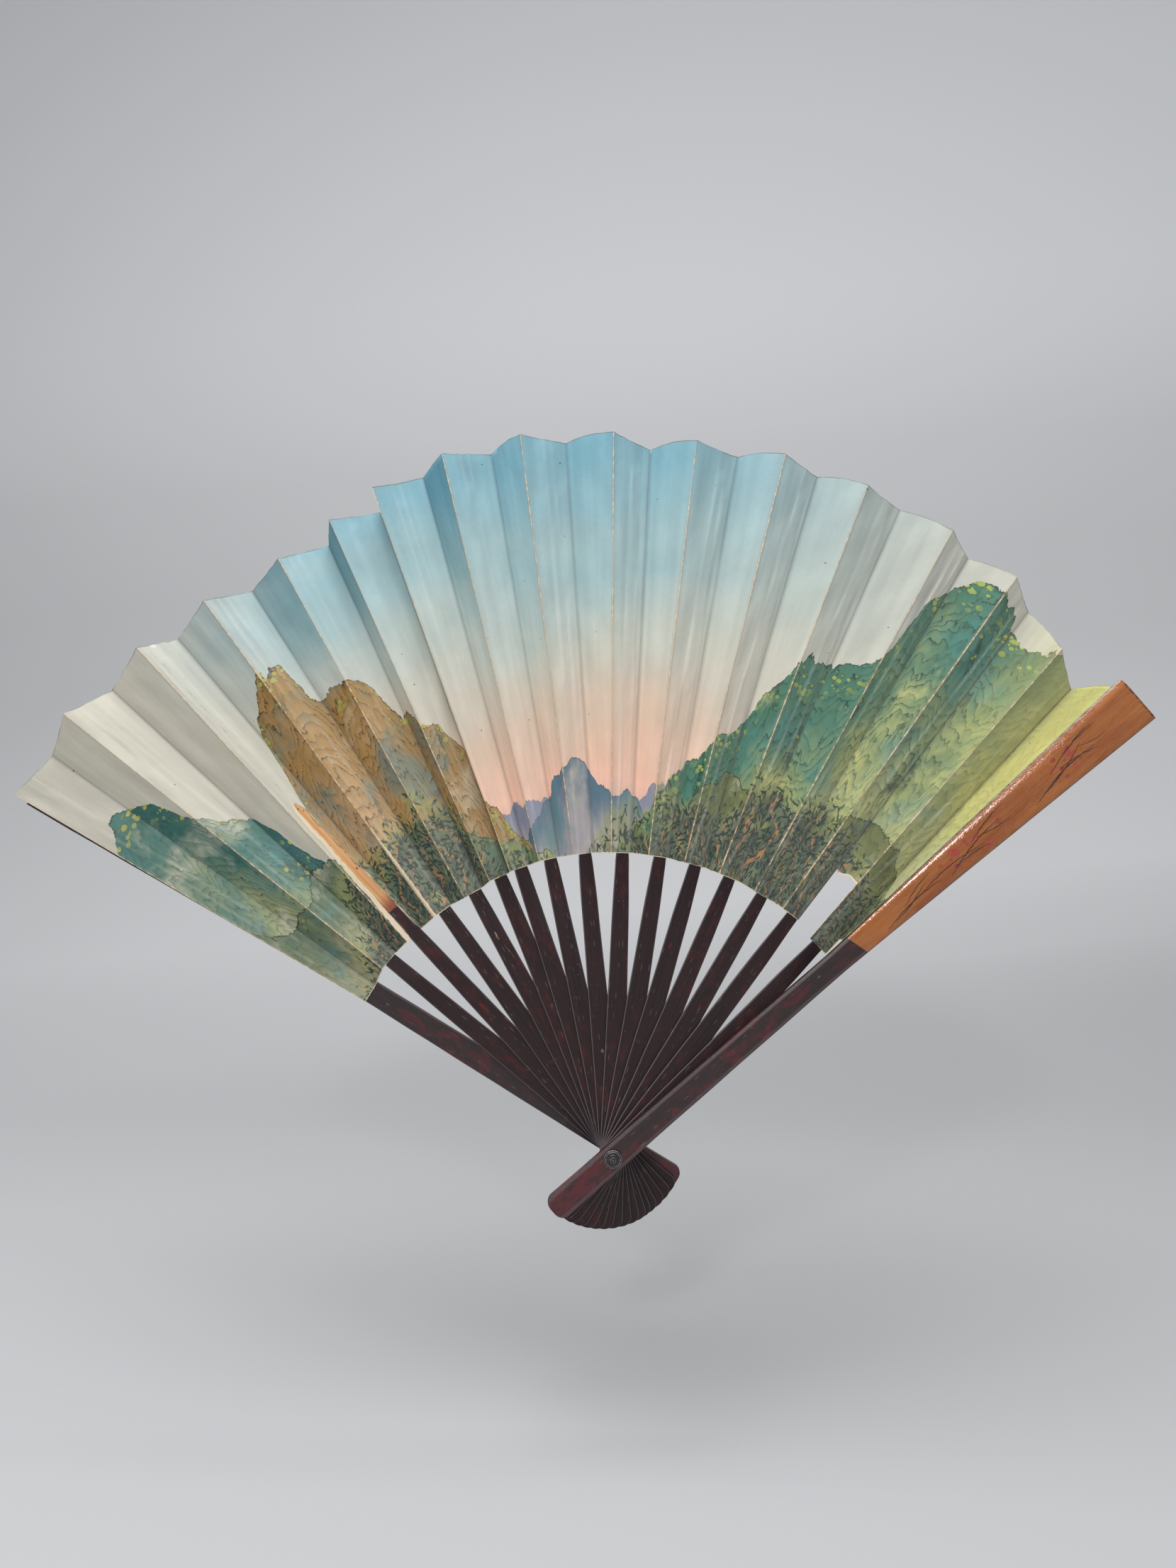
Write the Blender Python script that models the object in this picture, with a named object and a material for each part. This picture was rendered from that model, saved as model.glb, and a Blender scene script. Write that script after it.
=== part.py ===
"""A folding hand fan, held upright and open, at its real size.

The fan faces -Y with its sticks in planes square to Y. Every stick turns about one rivet, whose axis
is the Y axis, and the middle of the rivet's flat rear end is the origin. Stick 0 is the rear guard on
the left, sticks 1 to 15 are the ribs, and stick 16 is the front guard on the right. Each stick is
modelled lying along its own +X, with +Z to its left, and is then turned about the rivet's axis.
"""

from math import cos, pi, radians, sin, tan

import bmesh
import bpy
from mathutils import Matrix, Vector

MM = 0.001

# Where each stick points, in degrees left of upright, from the rear guard to the front guard. The
# pleats have taken a set over the years, so the steps are uneven.
STICK_ANGLES = (
    53.4, 45.5, 38.1, 30.6, 23.5, 17.6, 13.2, 7.2, 0.4,
    -6.8, -14.0, -20.9, -27.8, -34.8, -41.7, -48.9, -53.4,
)

# Lengths from the rivet's axis
TAIL_LENGTH = 33.0 * MM
LEAF_INNER = 124.0 * MM
LEAF_OUTER = 295.0 * MM
SLIP_END = LEAF_OUTER - 11.0 * MM
GUARD_TIP = LEAF_OUTER - 8.0 * MM

# Ribs: a lacquered bar below the leaf, and a thin slip inside it
RIB_THICKNESS = 1.05 * MM
RIB_TAIL_WIDTH = 11.0 * MM
RIB_RIVET_WIDTH = 10.4 * MM
RIB_LEAF_WIDTH = 6.2 * MM
SLIP_THICKNESS = 0.3 * MM
SLIP_ROOT_WIDTH = 5.0 * MM
SLIP_END_WIDTH = 3.0 * MM
SLIP_ROOT = LEAF_INNER + 4.0 * MM
SLIP_START = LEAF_INNER - 1.0 * MM
TWIST_START = SLIP_START - 25.0 * MM
THIN_START = SLIP_START - 23.0 * MM
TAIL_CORNER = 4.0 * MM

# Guards: the two outer sticks, which widen into blades that cover the folded leaf
GUARD_THICKNESS = 3.0 * MM
GUARD_TIP_THICKNESS = 2.2 * MM
GUARD_TAIL_WIDTH = 11.4 * MM
GUARD_RIVET_WIDTH = 10.8 * MM
GUARD_LEAF_WIDTH = 9.5 * MM
GUARD_TIP_WIDTH = 21.6 * MM
GUARD_CHAMFER = 0.5 * MM
GUARD_SPLAY_START = 15.0 * MM

# Leaf: pleated paper in two layers, which hold the slips between them
PLEAT_TILT = radians(24.0)
PEAK_ANGLE = radians(1.85)
VALLEY_ANGLE = radians(1.65)
PAPER_THICKNESS = 0.17 * MM
CLOSED_GAP = 0.32 * MM
FOLD_THICKNESS = 0.4 * MM
PASTED_THICKNESS = 0.5 * MM
POCKET_SIDE_GAP = 0.4 * MM
POCKET_OVERRUN = 2.0 * MM
SEAM_WIDTH = 0.2 * MM
CREASE_GAP = 0.75 * MM

# Rivet: a pin with a button at each end, over two ringed washers
PIN_RADIUS = 1.5 * MM
HOLE_RADIUS = 1.7 * MM
BUTTON_RADIUS = 2.3 * MM
BUTTON_THICKNESS = 0.7 * MM
BUTTON_FLAT_RADIUS = 1.4 * MM
BUTTON_DOME = 0.25 * MM
WASHER_RADIUS = 3.85 * MM
WASHER_THICKNESS = 1.0 * MM
WASHER_GROOVE = 0.3 * MM
RING_SHARES = (0.35, 0.5, 0.7, 0.85)

GAP = 0.3 * MM
STACK_GAP = 0.4 * MM
ROUND_STEPS = 24
TAIL_STEPS = 6
TWIST_STEPS = 7

RIB_COUNT = len(STICK_ANGLES) - 2
FRONT = len(STICK_ANGLES) - 1
STACK_PITCH = RIB_THICKNESS + STACK_GAP
# The slanted panels lie this thick beside each other in the closed fan, with the gap left clear.
PANEL_THICKNESS = STACK_PITCH * cos(PLEAT_TILT) - CLOSED_GAP
POCKET_THICKNESS = PANEL_THICKNESS - 2 * PAPER_THICKNESS


def clear_scene():
    """Removes every object that the scene starts with."""
    for obj in list(bpy.data.objects):
        bpy.data.objects.remove(obj, do_unlink=True)


def finish(name, colour, roughness, metallic=0.0):
    """A plain material of one colour."""
    material = bpy.data.materials.new(name)
    material.use_nodes = True
    shader = material.node_tree.nodes["Principled BSDF"]
    shader.inputs["Base Color"].default_value = (*colour, 1.0)
    shader.inputs["Roughness"].default_value = roughness
    shader.inputs["Metallic"].default_value = metallic
    return material


def dress(mesh, material):
    """The mesh, in this material alone."""
    mesh.materials.clear()
    mesh.materials.append(material)
    return mesh


def add(name, mesh):
    """A new object that shows the mesh."""
    obj = bpy.data.objects.new(name, mesh)
    bpy.context.scene.collection.objects.link(obj)
    return obj


def between(u, points):
    """The value at u on the straight runs through points, each a pair of u and value."""
    last_u, last_value = points[0]
    for next_u, next_value in points[1:]:
        if u <= next_u:
            share = max(0.0, (u - last_u) / (next_u - last_u))
            return last_value + share * (next_value - last_value)
        last_u, last_value = next_u, next_value
    return last_value


def eased(share):
    """Runs from 0 to 1 with level ends."""
    share = min(1.0, max(0.0, share))
    return share * share * (3.0 - 2.0 * share)


def rear_washer_back():
    return -(BUTTON_THICKNESS + GAP)


def guard_back():
    """The rear face of the rear guard, at the rivet."""
    return rear_washer_back() - WASHER_THICKNESS - GAP


def stick_depth(index):
    """The Y of the middle of a stick, at the rivet."""
    first_rib = guard_back() - GUARD_THICKNESS - STACK_GAP - RIB_THICKNESS / 2
    if index == 0:
        return guard_back() - GUARD_THICKNESS / 2
    if index <= RIB_COUNT:
        return first_rib - (index - 1) * STACK_PITCH
    last_rib = first_rib - (RIB_COUNT - 1) * STACK_PITCH
    return last_rib - RIB_THICKNESS / 2 - STACK_GAP - GUARD_THICKNESS / 2


def front_washer_back():
    return stick_depth(FRONT) - GUARD_THICKNESS / 2 - GAP


def turn(index):
    """The turn about Y that points a stick's own +X where the stick points."""
    return -(radians(STICK_ANGLES[index]) + pi / 2)


def place(obj, index):
    obj.location = (0.0, stick_depth(index), 0.0)
    obj.rotation_euler = (0.0, turn(index), 0.0)


def in_world(index, point):
    """A point of a stick's own frame, in the world."""
    turned = Matrix.Rotation(turn(index), 4, "Y") @ Vector(point)
    return turned + Vector((0.0, stick_depth(index), 0.0))


def loft(name, rings):
    """A closed mesh through rings of points, each ring with as many points as the next."""
    shape = bmesh.new()
    made = [[shape.verts.new(point) for point in ring] for ring in rings]
    for ring, following in zip(made, made[1:]):
        for i, vertex in enumerate(ring):
            j = (i + 1) % len(ring)
            shape.faces.new((vertex, ring[j], following[j], following[i]))
    shape.faces.new(reversed(made[0]))
    shape.faces.new(made[-1])
    bmesh.ops.recalc_face_normals(shape, faces=shape.faces)
    mesh = bpy.data.meshes.new(name)
    shape.to_mesh(mesh)
    shape.free()
    return mesh


def bar_ring(u, half_width, half_thickness, twist=0.0, shift=0.0, chamfer=0.0):
    """The cross-section of a bar at u, turned by twist so that its left edge comes forward."""
    if chamfer:
        corners = (
            (half_width, half_thickness - chamfer),
            (half_width - chamfer, half_thickness),
            (chamfer - half_width, half_thickness),
            (-half_width, half_thickness - chamfer),
            (-half_width, chamfer - half_thickness),
            (chamfer - half_width, -half_thickness),
            (half_width - chamfer, -half_thickness),
            (half_width, chamfer - half_thickness),
        )
    else:
        corners = (
            (half_width, half_thickness),
            (-half_width, half_thickness),
            (-half_width, -half_thickness),
            (half_width, -half_thickness),
        )
    return [
        (u, shift + back * cos(twist) - left * sin(twist), left * cos(twist) + back * sin(twist))
        for left, back in corners
    ]


def tail_stations():
    """(u, how much narrower than the bar on each side) round the tail's two corners."""
    stations = []
    for i in range(TAIL_STEPS + 1):
        angle = i / TAIL_STEPS * pi / 2
        narrower = TAIL_CORNER * (1 - sin(angle))
        stations.append((TAIL_CORNER * (1 - cos(angle)) - TAIL_LENGTH, narrower))
    return stations


def cut(mesh, cutter_mesh):
    """The mesh with the cutter taken out of it, as a new mesh."""
    body = add(mesh.name + "_body", mesh)
    cutter = add(mesh.name + "_cutter", cutter_mesh)
    cutter.hide_render = True
    cutter.display_type = "WIRE"
    boolean = body.modifiers.new("cut", "BOOLEAN")
    boolean.operation = "DIFFERENCE"
    boolean.object = cutter
    bpy.context.view_layer.update()
    evaluated = body.evaluated_get(bpy.context.evaluated_depsgraph_get())
    result = bpy.data.meshes.new_from_object(evaluated)
    result.name = mesh.name
    bpy.data.objects.remove(body)
    bpy.data.objects.remove(cutter)
    return result


def rivet_hole(mesh, length):
    """The mesh with the rivet's hole along Y through it."""
    rings = []
    for y in (-length, length):
        ring = []
        for i in range(ROUND_STEPS):
            angle = 2 * pi * i / ROUND_STEPS
            ring.append((HOLE_RADIUS * cos(angle), y, HOLE_RADIUS * sin(angle)))
        rings.append(ring)
    return cut(mesh, loft(mesh.name + "_hole", rings))


def smooth(mesh):
    mesh.shade_smooth()
    mesh.set_sharp_from_angle(angle=radians(35.0))
    return mesh


def rib_half_width(u):
    return between(u, (
        (-TAIL_LENGTH, RIB_TAIL_WIDTH / 2),
        (0.0, RIB_RIVET_WIDTH / 2),
        (LEAF_INNER, RIB_LEAF_WIDTH / 2),
        (SLIP_ROOT, SLIP_ROOT_WIDTH / 2),
        (SLIP_END, SLIP_END_WIDTH / 2),
    ))


def rib_thickness(u):
    return between(u, (
        (THIN_START, RIB_THICKNESS),
        (SLIP_START, SLIP_THICKNESS),
        (SLIP_END, SLIP_THICKNESS),
    ))


def rib_twist(u):
    """A rib turns with its pleat where it meets the leaf."""
    return PLEAT_TILT * eased((u - TWIST_START) / (SLIP_START - TWIST_START))


def rib_mesh():
    """A rib: a flat bar with a round-cornered tail, which twists and thins into its slip."""
    rings = []
    for u, narrower in tail_stations():
        rings.append(bar_ring(u, rib_half_width(u) - narrower, RIB_THICKNESS / 2))
    twist_length = SLIP_START - TWIST_START
    twisting = [TWIST_START + twist_length * i / TWIST_STEPS for i in range(TWIST_STEPS + 1)]
    for u in (0.0, *twisting, SLIP_ROOT, SLIP_END):
        rings.append(bar_ring(u, rib_half_width(u), rib_thickness(u) / 2, rib_twist(u)))
    return smooth(rivet_hole(loft("rib", rings), RIB_THICKNESS))


def peak_left(u):
    return u * tan(PEAK_ANGLE)


def valley_right(u):
    return u * tan(VALLEY_ANGLE)


def guard_shift(u):
    """How far a guard's blade stands away from its neighbour's pleat, which tips towards it."""
    reach = max(u, LEAF_INNER) * tan(max(PEAK_ANGLE, VALLEY_ANGLE)) * tan(PLEAT_TILT)
    panel = PANEL_THICKNESS / 2 / cos(PLEAT_TILT)
    full = reach + panel + GAP + PASTED_THICKNESS + GAP - RIB_THICKNESS / 2 - STACK_GAP
    start = (u - GUARD_SPLAY_START) / (LEAF_INNER - GUARD_SPLAY_START)
    return full * min(1.0, max(0.0, start))


def guard_half_width(u):
    return between(u, (
        (-TAIL_LENGTH, GUARD_TAIL_WIDTH / 2),
        (0.0, GUARD_RIVET_WIDTH / 2),
        (LEAF_INNER, GUARD_LEAF_WIDTH / 2),
        (GUARD_TIP, GUARD_TIP_WIDTH / 2),
    ))


def guard_thickness(u):
    return between(u, ((LEAF_INNER, GUARD_THICKNESS), (GUARD_TIP, GUARD_TIP_THICKNESS)))


def guard_mesh(name, outward):
    """A guard whose blade leans towards outward, which is 1 for the back and -1 for the front."""
    rings = []
    for u, narrower in tail_stations():
        half_width = guard_half_width(u) - narrower
        rings.append(bar_ring(u, half_width, GUARD_THICKNESS / 2, chamfer=GUARD_CHAMFER))
    for u in (0.0, GUARD_SPLAY_START, LEAF_INNER, (LEAF_INNER + GUARD_TIP) / 2, GUARD_TIP):
        thickness = guard_thickness(u)
        shift = outward * (guard_shift(u) - (GUARD_THICKNESS - thickness) / 2)
        rings.append(
            bar_ring(u, guard_half_width(u), thickness / 2, shift=shift, chamfer=GUARD_CHAMFER)
        )
    return smooth(rivet_hole(loft(name, rings), GUARD_THICKNESS))


def slab_ring(u, left, right, thickness, twist=0.0, shift=0.0):
    """The cross-section of a sheet at u, from left to right of its stick."""
    half = thickness / 2
    ring = []
    for side, back in ((left, half), (-right, half), (-right, -half), (left, -half)):
        along = side / cos(twist)
        ring.append((
            u,
            shift + back * cos(twist) - along * sin(twist),
            along * cos(twist) + back * sin(twist),
        ))
    return ring


def panel_mesh():
    """A pleat's panel: two layers of paper with a pocket between them for the slip."""
    outer = [
        slab_ring(u, peak_left(u), valley_right(u), PANEL_THICKNESS, PLEAT_TILT)
        for u in (LEAF_INNER, LEAF_OUTER)
    ]
    pocket = []
    for u in (LEAF_INNER - POCKET_OVERRUN, SLIP_ROOT, SLIP_END + GAP):
        widest = valley_right(max(u, LEAF_INNER)) / cos(PLEAT_TILT) - SEAM_WIDTH
        side = min(rib_half_width(max(u, LEAF_INNER)) + POCKET_SIDE_GAP, widest)
        pocket.append(bar_ring(u, side, POCKET_THICKNESS / 2, PLEAT_TILT))
    return cut(loft("panel", outer), loft("pocket", pocket))


def pasted_shift(u, outward):
    """The Y of the middle of the leaf's end panel, on the inner face of a guard's blade."""
    return outward * (guard_shift(u) - GUARD_THICKNESS / 2 - GAP - PASTED_THICKNESS / 2)


def pasted_mesh(name, outward):
    """The leaf's end panel, which lies flat on the inner face of a guard."""
    rings = []
    for u in (LEAF_INNER, (LEAF_INNER + LEAF_OUTER) / 2, LEAF_OUTER):
        rings.append(slab_ring(
            u, peak_left(u), valley_right(u), PASTED_THICKNESS, shift=pasted_shift(u, outward)
        ))
    return loft(name, rings)


def crease(index, u, side):
    """A point on a crease line of a stick's panel: side is 1 for its peak and -1 for its valley."""
    across = peak_left(u) if side > 0 else -valley_right(u)
    if index in (0, FRONT):
        depth = pasted_shift(u, 1.0 if index == 0 else -1.0)
    else:
        depth = -across * tan(PLEAT_TILT)
    return in_world(index, (u, depth, across))


def fold_mesh(index):
    """The fold between a stick's panel and the one on its left, kept clear of both creases."""
    rings = []
    for u in (LEAF_INNER, LEAF_OUTER):
        valley = crease(index - 1, u, -1)
        peak = crease(index, u, 1)
        across = (peak - valley).normalized()
        radial = crease(index, LEAF_OUTER, 1) - crease(index, LEAF_INNER, 1)
        back = across.cross(radial).normalized() * FOLD_THICKNESS / 2
        if back.y < 0:
            back.negate()
        start = valley + across * CREASE_GAP
        end = peak - across * CREASE_GAP
        rings.append([start + back, end + back, end - back, start - back])
    return loft(f"fold_{index:02d}", rings)


def turned(name, profile):
    """A round body about the Y axis from (radius, y) points, closed from the first to the last."""
    shape = bmesh.new()
    rings = []
    for i in range(ROUND_STEPS):
        angle = 2 * pi * i / ROUND_STEPS
        rings.append([shape.verts.new((r * cos(angle), y, r * sin(angle))) for r, y in profile])
    for i, ring in enumerate(rings):
        following = rings[(i + 1) % ROUND_STEPS]
        for j in range(len(profile)):
            k = (j + 1) % len(profile)
            shape.faces.new((ring[j], ring[k], following[k], following[j]))
    bmesh.ops.remove_doubles(shape, verts=shape.verts, dist=0.0001 * MM)
    bmesh.ops.recalc_face_normals(shape, faces=shape.faces)
    mesh = bpy.data.meshes.new(name)
    shape.to_mesh(mesh)
    shape.free()
    return smooth(mesh)


def washer_mesh(name, inner_y, outward):
    """A ringed washer whose flat side is at inner_y, with a raised rim and a groove outside."""
    face = inner_y + outward * WASHER_THICKNESS
    low = face - outward * WASHER_GROOVE
    rim = WASHER_RADIUS - HOLE_RADIUS
    ring_edges = [HOLE_RADIUS + share * rim for share in RING_SHARES]
    return turned(name, [
        (HOLE_RADIUS, inner_y), (HOLE_RADIUS, face), (ring_edges[0], face), (ring_edges[1], low),
        (ring_edges[2], low), (ring_edges[3], face), (WASHER_RADIUS, low), (WASHER_RADIUS, inner_y),
    ])


def pin_mesh():
    """The rivet's pin: a shank with a flat button behind and a domed one in front."""
    front_inner = front_washer_back() - WASHER_THICKNESS - GAP
    front_face = front_inner - BUTTON_THICKNESS
    return turned("rivet_pin", [
        (0.0, 0.0), (BUTTON_RADIUS, 0.0), (BUTTON_RADIUS, -BUTTON_THICKNESS),
        (PIN_RADIUS, -BUTTON_THICKNESS), (PIN_RADIUS, front_inner), (BUTTON_RADIUS, front_inner),
        (BUTTON_RADIUS, front_face + BUTTON_DOME), (BUTTON_FLAT_RADIUS, front_face),
        (0.0, front_face),
    ])


def add_sticks(lacquer, varnish):
    """The ribs share one mesh, and the two guards lean away from each other."""
    shared_rib = dress(rib_mesh(), lacquer)
    for index in range(1, RIB_COUNT + 1):
        place(add(f"rib_{index:02d}", shared_rib), index)
    place(add("guard_rear", dress(guard_mesh("guard_rear", 1.0), varnish)), 0)
    place(add("guard_front", dress(guard_mesh("guard_front", -1.0), varnish)), FRONT)


def add_leaf(paper):
    """The leaf, as a panel on every stick and a fold between every two panels."""
    shared_panel = dress(panel_mesh(), paper)
    for index in range(1, RIB_COUNT + 1):
        place(add(f"leaf_panel_{index:02d}", shared_panel), index)
    place(add("leaf_end_rear", dress(pasted_mesh("leaf_end_rear", 1.0), paper)), 0)
    place(add("leaf_end_front", dress(pasted_mesh("leaf_end_front", -1.0), paper)), FRONT)
    for index in range(1, FRONT + 1):
        add(f"leaf_fold_{index:02d}", dress(fold_mesh(index), paper))


def add_rivet(metal):
    """The pin through every stick, and the washer under each of its buttons."""
    rear_inner = guard_back() + GAP
    add("rivet_pin", dress(pin_mesh(), metal))
    add("rivet_washer_rear", dress(washer_mesh("rivet_washer_rear", rear_inner, 1.0), metal))
    front_washer = washer_mesh("rivet_washer_front", front_washer_back(), -1.0)
    add("rivet_washer_front", dress(front_washer, metal))


def main():
    clear_scene()
    lacquer = finish("dark_lacquer", (0.035, 0.012, 0.012), 0.35)
    varnish = finish("amber_varnish", (0.42, 0.13, 0.03), 0.3)
    add_sticks(lacquer, varnish)
    add_leaf(finish("printed_paper", (0.75, 0.72, 0.66), 0.8))
    add_rivet(finish("dark_metal", (0.05, 0.045, 0.045), 0.4, 0.8))


main()
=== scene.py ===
"""An open folding hand fan: bamboo sticks on one rivet, and a pleated leaf of painted paper.

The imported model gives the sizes, the places and the joints. Here the sticks, the rivet and the leaf get
their finished shapes, and each gets a procedural material. Lengths are in metres. A stick's own frame
runs along the stick (u), to its left (left) and to the back (depth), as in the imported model.
"""
import logging
import math
from dataclasses import dataclass
from enum import Enum

import bmesh
import bpy
import numpy as np
from mathutils import Matrix, Vector


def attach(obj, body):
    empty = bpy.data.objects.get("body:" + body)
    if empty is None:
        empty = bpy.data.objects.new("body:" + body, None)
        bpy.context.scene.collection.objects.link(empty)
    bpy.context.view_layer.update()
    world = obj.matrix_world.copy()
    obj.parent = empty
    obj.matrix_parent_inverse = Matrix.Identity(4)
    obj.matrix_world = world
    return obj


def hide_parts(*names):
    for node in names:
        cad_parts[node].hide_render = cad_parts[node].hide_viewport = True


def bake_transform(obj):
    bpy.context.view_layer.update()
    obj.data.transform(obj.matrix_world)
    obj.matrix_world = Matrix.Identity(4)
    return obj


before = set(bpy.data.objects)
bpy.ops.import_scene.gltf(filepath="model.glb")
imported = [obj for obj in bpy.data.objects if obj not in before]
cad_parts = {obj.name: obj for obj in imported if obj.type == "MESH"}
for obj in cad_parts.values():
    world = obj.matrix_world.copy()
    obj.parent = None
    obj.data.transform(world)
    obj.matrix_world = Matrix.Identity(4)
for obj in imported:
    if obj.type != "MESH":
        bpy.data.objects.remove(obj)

Array = np.ndarray
Colour = tuple[float, float, float]
Socket = bpy.types.NodeSocket

MM = 0.001
SAME_PLACE = 1e-6
log = logging.getLogger("fan")


def eased(share: Array) -> Array:
    """Runs from 0 to 1 with level ends, and stays there outside."""
    share = np.clip(share, 0.0, 1.0)
    return share * share * (3.0 - 2.0 * share)


def ripple(x: Array, y: Array, seed: int, waves: int = 5) -> Array:
    """A smooth wavy field of about -1 to 1, with features about one unit wide.

    Args:
        x: First coordinate, in units of one feature.
        y: Second coordinate, of a shape that broadcasts with x.
        seed: Picks the waves.
        waves: How many plane waves are added.

    Returns:
        The sum of plane waves sin(ax + by + c) with random a, b and c, over the root of their count.
    """
    random = np.random.default_rng(seed)
    total = np.zeros(np.broadcast(x, y).shape)
    for _ in range(waves):
        heading, phase = random.uniform(0.0, 2.0 * math.pi, 2)
        pace = random.uniform(3.0, 7.5)
        total += np.sin(pace * (math.cos(heading) * x + math.sin(heading) * y) + phase)
    return total / math.sqrt(waves)


@dataclass(frozen=True)
class Fan:
    """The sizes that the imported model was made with, and the drawn leaf's own gentler tilt."""

    angles: tuple[float, ...] = (
        53.4, 45.5, 38.1, 30.6, 23.5, 17.6, 13.2, 7.2, 0.4,
        -6.8, -14.0, -20.9, -27.8, -34.8, -41.7, -48.9, -53.4,
    )
    tail: float = 33.0 * MM
    tail_corner: float = 4.0 * MM
    leaf_inner: float = 124.0 * MM
    leaf_outer: float = 295.0 * MM
    rib_thickness: float = 1.05 * MM
    guard_thickness: float = 3.0 * MM
    pitch: float = 1.45 * MM
    rear_depth: float = -3.8 * MM
    first_rib_depth: float = -6.225 * MM
    front_depth: float = -28.95 * MM
    tilt: float = math.radians(24.0)
    leaf_tilt: float = math.radians(21.0)
    peak: float = math.radians(1.85)
    hole: float = 1.7 * MM
    panel_gap: float = 0.32 * MM
    end_facet: float = 1.1 * MM
    stack_gap: float = 0.4 * MM
    splay_start: float = 15.0 * MM
    rear_guard_end: float = 291.0 * MM
    front_guard_end: float = 286.0 * MM
    slip_tip: float = 284.0 * MM

    @property
    def front(self) -> int:
        """The front guard's place in the row of sticks."""
        return len(self.angles) - 1

    def body(self, index: int) -> str:
        """The name of the body that a stick rides on."""
        if index == 0:
            return "rear_stick"
        return "front_stick" if index == self.front else f"rib_{index:02d}_body"

    def depth(self, index: int) -> float:
        """How far back the middle of a stick lies at the rivet."""
        if index == 0:
            return self.rear_depth
        if index == self.front:
            return self.front_depth
        return self.first_rib_depth - (index - 1) * self.pitch

    def share(self, index: int) -> float:
        """How much of the front guard's turn a stick makes as the fan closes."""
        return (self.angles[0] - self.angles[index]) / (self.angles[0] - self.angles[-1])

    def place(self, index: int, u: Array, left: Array, depth: Array) -> Array:
        """Points of a stick's own frame, in the world.

        Args:
            index: The stick.
            u: Lengths along the stick from the rivet's axis.
            left: Lengths to the stick's left.
            depth: Lengths to the back of the stick's middle.

        Returns:
            The points, with x, y and z last: the stick's frame turned about Y by its angle.
        """
        angle = math.radians(self.angles[index])
        x = -math.sin(angle) * u - math.cos(angle) * left
        z = math.cos(angle) * u - math.sin(angle) * left
        return np.stack(np.broadcast_arrays(x, depth + self.depth(index), z), axis=-1)

    def guard_shift(self, u: Array) -> Array:
        """How far a guard's blade leans away at u, which leaves room for the tilted panel and the
        pasted end facet beside it."""
        reach = np.maximum(u, self.leaf_inner) * math.tan(self.peak) * math.tan(self.tilt)
        panel = (self.pitch * math.cos(self.tilt) - self.panel_gap) / 2.0 / math.cos(self.tilt)
        full = reach + panel + self.end_facet - self.rib_thickness / 2.0 - self.stack_gap
        start = self.splay_start
        return full * np.clip((u - start) / (self.leaf_inner - start), 0.0, 1.0)


FAN = Fan()


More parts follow.
